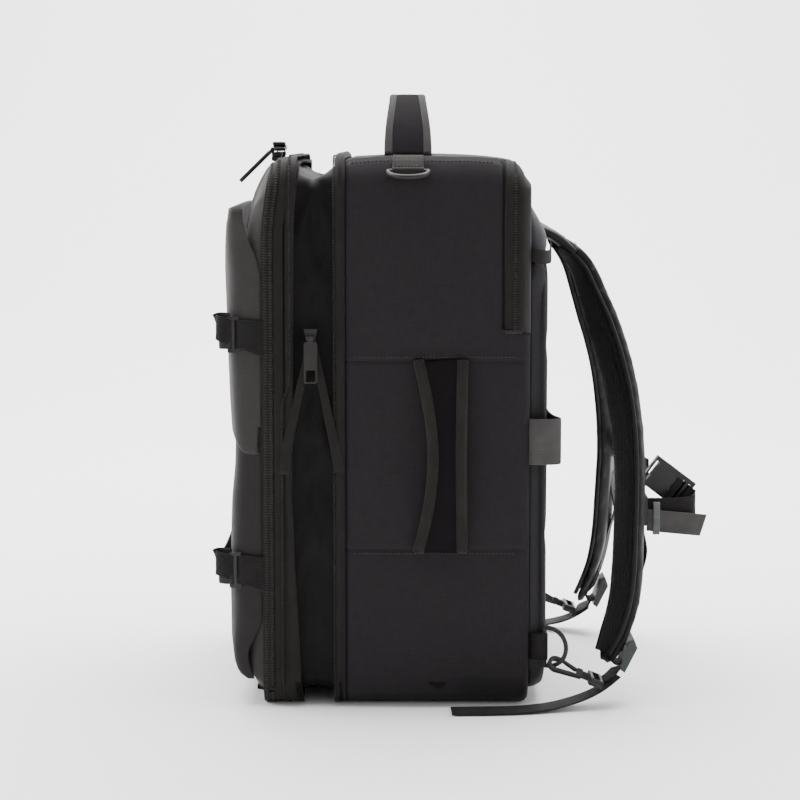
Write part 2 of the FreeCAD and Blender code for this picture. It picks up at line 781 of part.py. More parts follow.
def snap_hook():
    """A swivel snap hook with its sprung gate, closed round the ring's lower leg.

    The shank lies along the hook's own X axis and its flat side along its own Z axis.
    """
    shank_way = Vector(0, 0.927, -0.375)
    flat_way = Vector(0.6, 0.29, 0.74)
    eye_centre = Vector(D["LowRingX"].number + 4.7, D["LowRingY"].number + 10, 38)
    place = FreeCAD.Placement(eye_centre, Rotation(shank_way, Vector(), flat_way, "XZY"))
    wire = Size(3.6)
    eye = Size(8)
    throat = Size(4.7)
    body = new_body("snap_hook_right")
    pad(body, "Z", -wire / 2, wire / 2, [
        (ZERO, -eye), (Size(24), Size(-4.5)), (Size(24), Size(4.5)), (Size(19), Size(4.5)),
        (Size(19), -throat / 2), (ZERO, -throat, -throat), (ZERO, throat), (Size(4), throat),
        (Size(4), eye), (ZERO, eye, eye)])
    shank = new_sketch(body, "X", 24)
    add_outline(shank, circle_outline(0, 0, 3.4))
    turned = body.newObject("PartDesign::Pad", "snap_hook_right_shank")
    turned.Profile = shank
    turned.Length = 6
    body.Placement = place
    mirrored(body, "snap_hook_left")
    gate = new_body("hook_gate_right")
    pad(gate, "Z", -1.4, 1.4, [(Size(4.5), Size(5.4)), (Size(17.4), Size(1)), (Size(17.4), Size(4)),
                               (Size(5), Size(7.6))])
    pad(gate, "Z", -1.4, 1.4, circle_outline(17.4, 2.5, 1.5))
    gate.Placement = place
    mirrored(gate, "hook_gate_left")
    base = new_body("hook_swivel_right")
    wide = D["StrapWebbing"] + 8
    pad(base, "X", 30.6, 42, rounded(-wide / 2, wide / 2, -3.5, 3.5, Size(3)))
    pocket(base, "Z", -3.5, 3.5, rectangle(33.5, 39.5, -D["StrapWebbing"] / 2 - 0.5,
                                           D["StrapWebbing"] / 2 + 0.5))
    base.Placement = FreeCAD.Placement(
        eye_centre, Rotation(shank_way, Vector(1, 0, 0), Vector(), "XYZ"))
    mirrored(base, "hook_swivel_left")


# ---------------------------------------------------------------- sternum strap

def sternum_strap():
    """The chest strap, buckled, bowed outwards between the two shoulder straps."""
    tall = D["SternumWebbing"]
    thick = D["WebbingThick"]
    for name, at, z in (("sternum_slide_right", Size(118), Size(170)),
                        ("sternum_slide_left", Size(-114), Size(196))):
        body = new_body(name)
        pad(body, "Z", z - 13, z + 13, rectangle(at - 16, at + 16, 222.4, 225.4))
    web = new_body("sternum_webbing_left")
    pad(web, "Z", 189, tall + 189, [
        (-100, 225.8), (60, 225.8), (94, 229), (94, 229 + thick), (60, 225.8 + thick),
        (-100, 225.8 + thick)])
    web = new_body("chest_webbing", kept=False)
    pad(web, "Z", 160, tall + 160, [
        (118, 225.8), (118 + thick, 225.8), (117 + thick, 262), (113, 270.5), (107, 270.5), (107, 269),
        (112, 269), (115.5, 262)])
    tail = new_body("chest_tail", kept=False)
    pad(tail, "X", 121, thick + 121, [(225.8, 150), (273, 146), (279, 165), (225.8, 171)])
    keeper = new_body("chest_keeper", kept=False)
    pad(keeper, "Y", 232, 237, rectangle(117.4, 123.6, 148, 182), rectangle(117.9, 123, 148.8, 181.2))
    grouped("sternum_webbing_right", [web, tail, keeper])


def buckle():
    """A side-release buckle; its two prongs are squeezed in to free it."""
    long = D["BuckleLength"]
    half = D["BuckleWidth"] / 2
    thick = D["BuckleThick"] / 2
    tilt = FreeCAD.Placement(
        Vector(D["BuckleX"].number, 229.5, 203.5), Rotation(Vector(1, 0, 0), -37))
    body = new_body("buckle_female")
    pad(body, "X", -thick, thick, rectangle(0, long, -half, half))
    pocket(body, "X", -thick + 1.5, thick - 1.5, rectangle(6, long, -half + 6, half - 6))
    for low, high in ((-half, -half + 6), (half - 6, half)):
        pocket(body, "X", -thick + 1.5, thick - 1.5, rectangle(11, 19, low, high))
    pocket(body, "X", -thick, thick, rectangle(1.6, 4.4, -half + 4, half - 4))
    body.Placement = tilt
    male = new_body("buckle_male")
    pad(male, "X", -thick, thick, rectangle(long + 0.4, long + 17, -half, half))
    pocket(male, "X", -thick, thick, rectangle(long + 6, long + 9, -half + 4, half - 4),
           rectangle(long + 11.5, long + 14.5, -half + 4, half - 4))
    pad(male, "X", -thick + 3, thick - 3, rectangle(8, long + 0.4, -2, 2))
    male.Placement = tilt
    for name, low, high in (("buckle_prong_upper", half - 5.5, half - 0.4),
                            ("buckle_prong_lower", -half + 0.4, -half + 5.5)):
        prong = new_body(name)
        pad(prong, "X", -thick + 2, thick - 2, rectangle(12, 18, low, high))
        prong.Placement = tilt


main_shell()
laptop_compartment()
back_panel()
trolley_sleeve()
expansion()
front_frame()
cover()
front_pockets()
compression_straps()
sliders()
top_handle()
side_handle()
rings()
ring_tabs()
shoulder_strap()
strap_hardware()
snap_hook()
sternum_strap()
buckle()

document.recompute()
for item in document.Objects:
    if "Invalid" in item.State or "Error" in item.State:
        raise RuntimeError("%s did not recompute: %s" % (item.Name, item.State))

os.makedirs("parts", exist_ok=True)
for piece in pieces:
    if piece.Shape.isNull() or not piece.Shape.isValid():
        raise RuntimeError(piece.Label + " has no valid shape")
    piece.Shape.exportStep("parts/%s.step" % piece.Label)
    box = piece.Shape.BoundBox
    print("%-30s x %7.1f %7.1f  y %7.1f %7.1f  z %7.1f %7.1f  solids %d" % (
        piece.Label, box.XMin, box.XMax, box.YMin, box.YMax, box.ZMin, box.ZMax,
        len(piece.Shape.Solids)))
print(len(pieces), "pieces")
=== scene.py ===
import math

import bmesh
import bpy
import numpy as np
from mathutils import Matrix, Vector, noise


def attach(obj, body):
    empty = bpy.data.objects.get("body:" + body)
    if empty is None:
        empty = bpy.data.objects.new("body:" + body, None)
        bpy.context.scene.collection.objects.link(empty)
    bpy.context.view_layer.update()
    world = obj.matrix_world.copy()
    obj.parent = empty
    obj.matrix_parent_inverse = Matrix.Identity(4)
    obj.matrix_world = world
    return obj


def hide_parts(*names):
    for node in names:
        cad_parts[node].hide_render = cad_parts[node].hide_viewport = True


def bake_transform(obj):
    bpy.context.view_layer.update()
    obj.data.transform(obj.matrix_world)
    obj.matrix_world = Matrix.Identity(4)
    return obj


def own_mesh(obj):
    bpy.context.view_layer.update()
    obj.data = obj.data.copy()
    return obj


# A cabin travel backpack, dressed over its CAD frame. Shapes are worked out in millimetres, in
# the CAD's frame, and become metres when a mesh is made.

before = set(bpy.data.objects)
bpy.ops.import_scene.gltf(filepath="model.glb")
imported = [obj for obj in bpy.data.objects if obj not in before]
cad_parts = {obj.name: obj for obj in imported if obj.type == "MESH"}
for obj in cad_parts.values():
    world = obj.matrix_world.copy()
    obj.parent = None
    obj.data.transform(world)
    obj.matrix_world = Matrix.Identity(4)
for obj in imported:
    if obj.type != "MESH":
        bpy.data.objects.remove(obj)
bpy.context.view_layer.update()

MM = 0.001
HALF, TOP, ROUND = 155, 477, 26  # the case's half width, its height, its corners' radius
MIDDLE = TOP / 2
SEAMS = (140, 304)  # heights of the two seams across each side
SIDES = ((1, "right"), (-1, "left"))
ACROSS, DEEP, UPRIGHT = (1, 0, 0), (0, 1, 0), (0, 0, 1)
WEB_THICK, TAB_THICK = 1.6, 1.5
STRAP_WIDE, CHEST_WIDE = 25, 19


# ---------------------------------------------------------------- the camera

camera_data = bpy.data.cameras.new("camera")
camera_data.lens = 100
camera_data.sensor_width = 36
camera = bpy.data.objects.new("camera", camera_data)
camera.location = (2.055, 0.0086, 0.493)
LOOK_DOWN = 6.68
camera.rotation_euler = (math.radians(90 - LOOK_DOWN), 0, math.radians(90))
bpy.context.scene.collection.objects.link(camera)
bpy.context.scene.camera = camera


# ---------------------------------------------------------------- materials

SHEEN_ROUGH = 0.45
DARKEST, LIGHTEST = 0.72, 1.34  # the colour's range inside one material
SHINE_SPREAD = 0.09


class Paint:
    """One node material and short ways of adding to it."""

    def __init__(self, name, colour, roughness, metallic=0.0, sheen=0.0, specular=0.5):
        self.material = bpy.data.materials.new(name)
        self.material.use_nodes = True
        self.tree = self.material.node_tree
        self.shader = self.tree.nodes["Principled BSDF"]
        self.colour = colour
        self.roughness = roughness
        for socket, value in (("Metallic", metallic), ("Sheen Weight", sheen),
                              ("Sheen Roughness", SHEEN_ROUGH), ("Specular IOR Level", specular)):
            self.shader.inputs[socket].default_value = value
        self.place = self.add("ShaderNodeTexCoord").outputs["Object"]

    def add(self, kind, **values):
        node = self.tree.nodes.new(kind)
        for name, value in values.items():
            setattr(node, name, value)
        return node

    def join(self, value, socket):
        if isinstance(value, bpy.types.NodeSocket):
            self.tree.links.new(value, socket)
        else:
            socket.default_value = value

    def flat(self):
        """Across and along a ribbon, in metres, as its mesh keeps them."""
        node = self.add("ShaderNodeAttribute")
        node.attribute_name = "flat"
        return node.outputs["Vector"]

    def noise(self, size, detail=2.0, rough=0.5):
        """Noise with features of the given size in millimetres, one number or one for each axis."""
        sizes = size if isinstance(size, tuple) else (size,) * 3
        return self.texture("ShaderNodeTexNoise", sizes, Scale=1.0, Detail=detail,
                            Roughness=rough).outputs["Fac"]

    def texture(self, kind, sizes, **inputs):
        """A texture node laid over the object, with features of the given sizes."""
        mapping = self.add("ShaderNodeMapping")
        self.join(self.place, mapping.inputs["Vector"])
        mapping.inputs["Scale"].default_value = [1 / (size * MM) for size in sizes]
        node = self.add(kind)
        self.join(mapping.outputs[0], node.inputs["Vector"])
        for name, value in inputs.items():
            node.inputs[name].default_value = value
        return node

    def math(self, how, *values):
        node = self.add("ShaderNodeMath", operation=how)
        for value, socket in zip(values, node.inputs):
            self.join(value, socket)
        return node.outputs[0]

    def plus(self, one, two):
        return self.math("ADD", one, two)

    def times(self, one, two):
        return self.math("MULTIPLY", one, two)

    def range(self, value, low=0, high=1, start=0.3, end=0.7):
        node = self.add("ShaderNodeMapRange")
        for name, number in (("From Min", start), ("From Max", end), ("To Min", low),
                             ("To Max", high)):
            node.inputs[name].default_value = number
        self.join(value, node.inputs["Value"])
        return node.outputs["Result"]

    def ribs(self, part, pitch, where):
        """A wave from 0 to 1 along one axis of a vector."""
        split = self.add("ShaderNodeSeparateXYZ")
        self.join(where, split.inputs[0])
        turned = self.times(split.outputs[part], 2 * math.pi / (pitch * MM))
        return self.math("MULTIPLY_ADD", self.math("SINE", turned), 0.5, 0.5)

    def finish(self, height, depth, tint, shine, warm=None):
        """Bump from a height, colour scaled by a tint and roughness moved by a shine."""
        bump = self.add("ShaderNodeBump")
        bump.inputs["Distance"].default_value = depth * MM
        bump.inputs["Strength"].default_value = 1.0
        self.join(height, bump.inputs["Height"])
        self.join(bump.outputs[0], self.shader.inputs["Normal"])
        mix = self.add("ShaderNodeMix", data_type="RGBA", blend_type="MIX")
        mix.inputs["A"].default_value = (*[c * DARKEST for c in self.colour], 1)
        mix.inputs["B"].default_value = (*[c * LIGHTEST for c in warm or self.colour], 1)
        self.join(tint, mix.inputs["Factor"])
        self.join(mix.outputs["Result"], self.shader.inputs["Base Color"])
        rough = self.range(shine, self.roughness - SHINE_SPREAD, self.roughness + SHINE_SPREAD)
        self.join(rough, self.shader.inputs["Roughness"])
        return self.material


YARN_LENGTH = 22  # in threads
PATCH_SIZE, CREASE_SIZES, CREASE_DEPTH = 55.0, (9.0, 14.0, 30.0), 1.6
WEAVE_DEPTH = 0.22


def fabric(name, colour, roughness=0.78, sheen=0.04, thread=0.55, warm=None, specular=0.14):
    """Fine plain-woven nylon: threads both ways, uneven yarn and patches of wear."""
    paint = Paint(name, colour, roughness, sheen=sheen, specular=specular)
    yarn = thread * YARN_LENGTH
    up = paint.noise((thread, thread, yarn), detail=1.5)
    along = paint.noise((thread, yarn, thread), detail=1.5)
    over = paint.noise((yarn, thread, thread), detail=1.5)
    weave = paint.times(paint.plus(paint.plus(up, along), over), 1 / 3)
    patches = paint.noise(PATCH_SIZE, detail=4.0, rough=0.6)
    creases = paint.noise(CREASE_SIZES, detail=5.0, rough=0.62)
    height = paint.plus(weave, paint.times(creases, CREASE_DEPTH))
    tint = paint.plus(paint.times(paint.range(weave, start=0.38, end=0.62), 0.6),
                      paint.times(paint.range(patches), 0.4))
    return paint.finish(height, WEAVE_DEPTH, tint, patches, warm)


def webbing(name, colour, across=1.5, along=0.9, depth=0.28, specular=0.16):
    """Woven tape whose ribs run along it, crossed by the picks of the weave."""
    paint = Paint(name, colour, 0.72, sheen=0.05, specular=specular)
    flat = paint.flat()
    warp = paint.ribs("X", across, flat)
    weft = paint.ribs("Y", along, flat)
    weave = paint.plus(paint.times(warp, 0.6), paint.times(weft, 0.4))
    fuzz = paint.noise(0.5, detail=3.0)
    patches = paint.noise(18.0, detail=3.0)
    height = paint.plus(weave, paint.times(fuzz, 0.7))
    tint = paint.times(paint.plus(weave, paint.range(patches)), 0.5)
    return paint.finish(height, depth, tint, fuzz)


MESH_CELL = 2.2


def mesh_cloth(name, colour):
    """Spacer mesh: small round cells over a padded core."""
    paint = Paint(name, colour, 0.8, sheen=0.04, specular=0.14)
    cells = paint.texture("ShaderNodeTexVoronoi", (MESH_CELL,) * 3, Scale=1.0, Randomness=0.35)
    rim = paint.range(cells.outputs["Distance"], start=0.15, end=0.55)
    patches = paint.noise(30.0, detail=3.0)
    tint = paint.times(paint.plus(rim, patches), 0.5)
    return paint.finish(rim, 0.5, tint, patches)


def moulded(name, colour, roughness=0.42, grain=0.8, specular=0.5):
    """Moulded plastic with a fine spark-eroded grain and handling marks."""
    paint = Paint(name, colour, roughness, specular=specular)
    fine = paint.noise(grain, detail=3.0)
    marks = paint.noise(9.0, detail=5.0, rough=0.65)
    return paint.finish(fine, 0.05, paint.range(marks, 0.1, 0.9), marks)


def metal(name, colour, roughness):
    """Coated metal, slightly mottled, a little brighter where it rubs."""
    paint = Paint(name, colour, roughness, metallic=0.4, specular=0.35)
    mottle = paint.noise(2.5, detail=4.0)
    rub = paint.noise(11.0, detail=3.0)
    return paint.finish(mottle, 0.03, rub, mottle)


SHELL = fabric("shell_weave", (0.0132, 0.0116, 0.0130))
SHELL_LIGHT = fabric("pocket_weave", (0.0185, 0.0166, 0.0162), sheen=0.08, roughness=0.7,
                     warm=(0.0205, 0.0182, 0.0174), specular=0.25)
GUSSET = fabric("gusset_weave", (0.0034, 0.0027, 0.0032), thread=0.4, roughness=0.6, sheen=0.0,
                specular=0.12)
# Lit and shaded copies of one pocket fabric: the upper pocket's colour is lighter with painted
# light, and the lower pocket's colour is darker with painted shade.
POCKET_PAINTED_LIT = fabric("upper_pocket_weave_painted_lit", (0.0245, 0.0220, 0.0214), sheen=0.1, roughness=0.7,
                     specular=0.25)
POCKET_PAINTED_SHADE = fabric("lower_pocket_weave_painted_shade", (0.0160, 0.0144, 0.0142), sheen=0.03, roughness=0.7,
                    specular=0.16)
BACK = fabric("back_weave", (0.0200, 0.0184, 0.0205), sheen=0.1, specular=0.2)
LINING = fabric("lining_weave", (0.005, 0.005, 0.0052), thread=0.4, specular=0.08)
HANDLE = fabric("handle_weave", (0.0075, 0.0066, 0.0074), thread=0.35, roughness=0.9, sheen=0.0,
                specular=0.04)
MESH = mesh_cloth("spacer_mesh", (0.0042, 0.0036, 0.0037))
SLEEK = fabric("strap_weave", (0.0042, 0.0036, 0.0037), thread=0.4, roughness=0.55, sheen=0.03,
               specular=0.22)
TAPE = webbing("zip_tape_weave", (0.0092, 0.0082, 0.0074), across=0.9, along=1.3, depth=0.16)
BINDING = webbing("binding_weave", (0.0155, 0.0138, 0.0128), across=1.1, along=1.0, depth=0.22,
                  specular=0.08)
WEB = webbing("webbing_weave", (0.0225, 0.0208, 0.0195))
WEB_PALE = webbing("pale_webbing_weave", (0.052, 0.0485, 0.0480), across=1.3)
WEB_DARK = webbing("dark_webbing_weave", (0.0085, 0.0076, 0.0074))
ELASTIC = webbing("elastic_weave", (0.105, 0.112, 0.110), across=1.0, along=0.7)
COIL = moulded("coil_plastic", (0.019, 0.0178, 0.0160), roughness=0.55, specular=0.25)
COIL_DARK = moulded("dark_coil_plastic", (0.018, 0.0168, 0.0152), roughness=0.55, specular=0.25)
THREAD = webbing("sewing_thread", (0.032, 0.030, 0.0285), across=0.5, along=0.5, depth=0.05)
THREAD_DARK = webbing("dark_sewing_thread", (0.010, 0.009, 0.009), across=0.5, along=0.5,
                      depth=0.05)
PLASTIC = moulded("black_moulding", (0.0090, 0.0088, 0.0094), specular=0.35)
GREY_PLASTIC = moulded("grey_moulding", (0.030, 0.033, 0.034), roughness=0.5, specular=0.3)
METAL = metal("gunmetal", (0.020, 0.0185, 0.018), roughness=0.48)
BLACK_METAL = metal("black_metal", (0.012, 0.0115, 0.0115), roughness=0.45)
BOARD = moulded("board_plastic", (0.012, 0.012, 0.013), roughness=0.6, grain=1.6)


# ---------------------------------------------------------------- mesh helpers

def lattice(rows, columns, rows_close=False, columns_close=False):
    """Quads over a grid of points kept row by row."""
    faces = []
    for i in range(rows if rows_close else rows - 1):
        for j in range(columns if columns_close else columns - 1):
            k, l = (i + 1) % rows, (j + 1) % columns
            faces.append((i * columns + j, i * columns + l, k * columns + l, k * columns + j))
    return faces


def piece(name, points, faces, material, flat=None):
    """A smooth mesh from points in millimetres."""
    mesh = bpy.data.meshes.new(name)
    mesh.from_pydata((np.asarray(points, float).reshape(-1, 3) * MM).tolist(), [], faces)
    if flat is not None:
        layer = mesh.attributes.new("flat", "FLOAT_VECTOR", "POINT")
        spread = np.asarray(flat, float).reshape(-1, 3) * MM
        layer.data.foreach_set("vector", spread.astype(np.float32).ravel())
    work = bmesh.new()
    work.from_mesh(mesh)
    bmesh.ops.recalc_face_normals(work, faces=work.faces)
    work.to_mesh(mesh)
    work.free()
    mesh.materials.append(material)
    mesh.shade_smooth()
    made = bpy.data.objects.new(name, mesh)
    bpy.context.scene.collection.objects.link(made)
    return made


def stands(made, body, slot, *nodes):
    """The piece rides on a CAD body, and stands for some of its nodes."""
    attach(made, body)
    if nodes:
        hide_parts(*nodes)
    return made


def sweep(name, sections, material, closed=False, flat=None):
    """A tube through closed sections of equal length, capped unless it closes on itself."""
    sections = np.asarray(sections, float)
    rows, columns = sections.shape[:2]
    faces = lattice(rows, columns, closed, True)
    if not closed:
        faces.append(tuple(range(columns)))
        faces.append(tuple(range((rows - 1) * columns, rows * columns)))
    return piece(name, sections, faces, material, flat)


def mirror_of(made, name):
    """The same mesh on the bag's other side."""
    mesh = made.data.copy()
    mesh.name = name
    points = np.zeros(len(mesh.vertices) * 3, np.float32)
    mesh.vertices.foreach_get("co", points)
    points = points.reshape(-1, 3)
    points[:, 0] *= -1
    mesh.vertices.foreach_set("co", points.ravel())
    mesh.flip_normals()
    other = bpy.data.objects.new(name, mesh)
    bpy.context.scene.collection.objects.link(other)
    return other


def applied(made, **modifiers):
    """The mesh with one modifier worked into it."""
    kind = modifiers.pop("kind")
    modifier = made.modifiers.new(kind.lower(), kind)
    for name, value in modifiers.items():
        setattr(modifier, name, value)
    bpy.context.view_layer.update()
    graph = bpy.context.evaluated_depsgraph_get()
    mesh = bpy.data.meshes.new_from_object(made.evaluated_get(graph))
    made.modifiers.clear()
    made.data = mesh
    mesh.shade_smooth()
    return made


def thickened(made, thickness):
    """A sheet with a thickness in millimetres, grown inwards."""
    return applied(made, kind="SOLIDIFY", thickness=thickness * MM, offset=-1)


def spline(route, resolution=10):
    """Points along the smooth line that a route's control points give."""
    curve = bpy.data.curves.new("route", "CURVE")
    curve.dimensions = "3D"
    curve.resolution_u = resolution
    line = curve.splines.new("NURBS")
    line.points.add(len(route) - 1)
    for point, place in zip(line.points, route):
        point.co = (place[0] * MM, place[1] * MM, place[2] * MM, 1)
    line.order_u = 3
    line.use_endpoint_u = True
    holder = bpy.data.objects.new("route", curve)
    bpy.context.scene.collection.objects.link(holder)
    bpy.context.view_layer.update()
    mesh = bpy.data.meshes.new_from_object(holder)
    points = np.array([v.co for v in mesh.vertices]) / MM
    bpy.data.objects.remove(holder)
    return points


def unit(vectors):
    vectors = np.asarray(vectors, float)
    return vectors / np.maximum(np.linalg.norm(vectors, axis=-1, keepdims=True), 1e-9)


def tangents(points, closed=False):
    if closed:
        return unit(np.roll(points, -1, 0) - np.roll(points, 1, 0))
    return unit(np.gradient(points, axis=0))


def lengths(points):
    steps = np.linalg.norm(np.diff(points, axis=0), axis=1)
    return np.concatenate([[0], np.cumsum(steps)])


def bent(value, power):
    """The value raised to a power with its sign kept: a sine or cosine that turns squarish."""
    return np.sign(value) * np.abs(value) ** power


def bell(value, width):
    """1 at nought, falling away to both sides."""
    return np.exp(-(value / width) ** 2)


def hump(t, power=1):
    """Half a sine wave while t runs from 0 to 1, raised to a power."""
    return math.sin(math.pi * min(max(t, 0.0), 1.0)) ** power


def pillow_section(wide, thick, power, count):
    """A closed rounded section: across and up, in millimetres."""
    turn = np.arange(count) / count * 2 * math.pi
    return wide / 2 * bent(np.cos(turn), 2 / power), thick / 2 * bent(np.sin(turn), 2 / power)


def squircle(middle, half_x, half_z, power_x, power_z, count):
    """A closed squarish loop that faces along the depth."""
    turn = np.linspace(0, 2 * math.pi, count + 1)[:-1]
    return np.stack([middle[0] + half_x * bent(np.cos(turn), power_x), np.full(count, middle[1]),
                     middle[2] + half_z * bent(np.sin(turn), power_z)], 1)


def sided(route, sign):
    """A route given for the right side, on the side that sign says."""
    return [(sign * x, y, z) for x, y, z in route]


def right_across(half_route, middle):
    """A route from the right side through the middle to the left one."""
    return half_route + [middle] + sided(half_route[::-1], -1)


def ribbon(name, points, side, wide, thick, material, power=7.0, closed=False, count=16):
    """Webbing, binding or a padded bar along points, its width towards side."""
    points = np.asarray(points, float)
    number = len(points)
    along = tangents(points, closed)
    side = np.broadcast_to(np.asarray(side, float), points.shape)
    side = unit(side - (side * along).sum(1, keepdims=True) * along)
    up = np.cross(side, along)
    wide = np.broadcast_to(np.asarray(wide, float), (number,))
    thick = np.broadcast_to(np.asarray(thick, float), (number,))
    run = lengths(points)
    sections, flat = [], []
    for i in range(number):
        across, high = pillow_section(wide[i], thick[i], power, count)
        sections.append(points[i] + np.outer(across, side[i]) + np.outer(high, up[i]))
        flat.append(np.stack([across, np.full(count, run[i]), high], 1))
    return sweep(name, sections, material, closed, flat)


def web(name, route, side, wide, thick, material, body, *nodes):
    """A piece of webbing along a route's smooth line."""
    made = ribbon(name, spline(route), side, wide, thick, material)
    return stands(made, body, "webbing", *nodes)


def beads(name, starts, ends, radius, material, sides=6):
    """Many small rounded bars, such as stitches or zip teeth, as one mesh."""
    starts, ends = np.asarray(starts, float), np.asarray(ends, float)
    along = unit(ends - starts)
    guide = np.where(np.abs(along[:, 2:3]) > 0.8, [[1.0, 0, 0]], [[0, 0, 1.0]])
    one = unit(np.cross(along, guide))
    two = np.cross(along, one)
    turn = np.arange(sides)[None, :, None] / sides * 2 * math.pi
    around = radius * (np.cos(turn) * one[:, None] + np.sin(turn) * two[:, None])
    rings = [(starts + (ends - starts) * share)[:, None] + around * swell
             for share, swell in ((0, 0.45), (0.16, 1), (0.84, 1), (1, 0.45))]
    points = np.stack(rings, 1).reshape(-1, 3)
    size = 4 * sides
    bar = lattice(4, sides, False, True) + [range(sides), range(3 * sides, size)]
    faces = [tuple(i * size + k for k in face) for i in range(len(starts)) for face in bar]
    return piece(name, points, faces, material, points)


def at(points, places):
    """Points at the given distances along a line."""
    run = lengths(points)
    return np.stack([np.interp(places, run, points[:, k]) for k in range(3)], 1)


def evenly(points, count):
    """Points at equal distances along a line."""
    return at(points, np.linspace(0, lengths(points)[-1], count))


def stitches(name, rows, material, pitch=3.4, share=0.66, radius=0.42):
    """Rows of stitches along lines."""
    starts, ends = [], []
    for row in rows:
        row = np.asarray(row, float)
        total = lengths(row)[-1]
        places = np.arange(0, max(total - pitch * share, 0.01), pitch)
        starts.append(at(row, places))
        ends.append(at(row, places + pitch * share))
    return beads(name, np.concatenate(starts), np.concatenate(ends), radius, material)


def sewn(name, rows, material, body, slot="webbing", **sizes):
    """Rows of stitches that ride on a body."""
    return stands(stitches(name, rows, material, **sizes), body, slot)


def ripple(points, sizes, seed):
    """Smooth noise from about -1 to 1 at points, with features of the given sizes."""
    points = np.asarray(points, float)
    scaled = points.reshape(-1, 3) / np.asarray(sizes, float) + seed
    return np.array([noise.noise(Vector(p)) for p in scaled]).reshape(points.shape[:-1])


def smooth(value, start, end):
    t = np.clip((np.asarray(value, float) - start) / (end - start), 0, 1)
    return t * t * (3 - 2 * t)


CLOTH = {"quality": 5, "mass": 0.3, "tension_stiffness": 12, "compression_stiffness": 12,
         "shear_stiffness": 6, "bending_stiffness": 0.6, "use_pressure": True}


def swollen(made, voxel, pressure, cap, steps):
    """Padded fabric: remeshed, blown up as cloth by no more than cap millimetres, and smoothed."""
    applied(made, kind="REMESH", mode="VOXEL", voxel_size=voxel * MM)
    start = np.array([v.co for v in made.data.vertices])
    cloth = made.modifiers.new("cloth", "CLOTH")
    for name, value in CLOTH.items():
        setattr(cloth.settings, name, value)
    cloth.settings.uniform_pressure_force = pressure
    cloth.settings.effector_weights.gravity = 0
    cloth.collision_settings.use_collision = False
    scene = bpy.context.scene
    for step in range(1, steps + 1):
        scene.frame_set(step)
    graph = bpy.context.evaluated_depsgraph_get()
    soft = made.evaluated_get(graph)
    end = np.array([v.co for v in soft.data.vertices])
    made.modifiers.clear()
    scene.frame_set(1)
    move = end - start
    size = np.linalg.norm(move, axis=1, keepdims=True)
    move *= np.minimum(1, cap * MM / np.maximum(size, 1e-9))
    made.data.vertices.foreach_set("co", (start + move).astype(np.float32).ravel())
    return applied(made, kind="SUBSURF", levels=1)


# ---------------------------------------------------------------- the case's outline

LOW_STEPS, TOP_STEPS, SIDE_STEPS, CORNER_STEPS = 36, 76, 150, 12


def even(count):
    return np.linspace(0, 1, count, endpoint=False)


def side_steps():
    """Shares of the way up a side, closer together at its two seams."""
    shares = even(SIDE_STEPS)
    for seam in SEAMS:
        gap = shares - (seam - ROUND) / (TOP - 2 * ROUND)
        shares = shares - gap * 0.75 * bell(gap, 0.025)
    return np.sort(shares)


def outline():
    """The case seen from the front: x, z, the outward direction, and the distance round."""
    bits = []
    flat_x, low, high = HALF - ROUND, ROUND, TOP - ROUND

    def straight(start, end, normal, shares):
        for t in shares:
            bits.append((start[0] + (end[0] - start[0]) * t, start[1] + (end[1] - start[1]) * t,
                         normal[0], normal[1]))

    def arc(x, z, start):
        for k in range(CORNER_STEPS):
            turn = math.radians(start + 90 * k / CORNER_STEPS)
            c, s = math.cos(turn), math.sin(turn)
            bits.append((x + ROUND * c, z + ROUND * s, c, s))

    straight((0, 0), (flat_x, 0), (0, -1), even(LOW_STEPS))
    arc(flat_x, low, -90)
    straight((HALF, low), (HALF, high), (1, 0), side_steps())
    arc(flat_x, high, 0)
    straight((flat_x, TOP), (-flat_x, TOP), (0, 1), even(TOP_STEPS))
    arc(-flat_x, high, 90)
    straight((-HALF, high), (-HALF, low), (-1, 0), 1 - side_steps()[::-1])
    arc(-flat_x, low, 180)
    straight((-flat_x, 0), (0, 0), (0, -1), even(LOW_STEPS))
    x, z, nx, nz = np.array(bits).T
    return x, z, nx, nz, lengths(np.stack([x, z], 1))


OX, OZ, NX, NZ, AROUND = outline()
UPWARD, DOWNWARD, SIDEWAYS = np.maximum(NZ, 0), np.maximum(-NZ, 0), np.abs(NX)


FLOOR_PROUD = 0.6  # the most that anything stands out beside the floor


def case_points(y):
    return np.stack([OX, np.full_like(OX, y), OZ], 1)


def ring_points(out, y):
    """The outline pushed outwards by out, at depth y; both may vary round it."""
    out = np.where(NZ < -0.05, np.minimum(out, FLOOR_PROUD * SIDEWAYS), out)
    return np.stack([OX + NX * out, np.broadcast_to(y, OX.shape), OZ + NZ * out], 1)


def band(name, material, depths, proud, wall=1.6, lean=None, pick=None):
    """A ring of fabric round the case; at a depth, proud and lean move it outwards and back."""
    def ring(depth, sunk):
        return ring_points(proud(depth) - sunk, depth + (lean(depth) if lean else 0))

    loops = np.stack([ring(depth, 0) for depth in depths]
                     + [ring(depth, wall) for depth in depths[::-1]], 1)
    across = np.concatenate([depths, depths[::-1]])
    flat = np.stack(np.broadcast_arrays(across[None, :], AROUND[:, None], 0.0), 2)
    if pick is not None:
        return sweep(name, loops[pick], material, False, flat[pick])
    return sweep(name, loops, material, True, flat)


def steps(start, end, pitch):
    return np.linspace(start, end, max(2, int(round(abs(end - start) / pitch)) + 1))


# ---------------------------------------------------------------- the cords

# Each loose webbing end, from its adjuster down to the floor.
TAIL_ROUTE = [
    (149, 199, 27), (151, 190, 19.5), (154, 176, 12), (159, 160, 7), (165, 140, 3.2),
    (171, 118, 2), (175, 92, 2), (176, 53, 2),
]
for sign, hand in SIDES:
    tail_line = spline(sided(TAIL_ROUTE, sign))
    tail = ribbon("tail_webbing_" + hand, tail_line, ACROSS, STRAP_WIDE, WEB_THICK, WEB_DARK)
    stands(tail, "strap_" + hand, "webbing", "webbing_tail_" + hand)


# ---------------------------------------------------------------- the main compartment

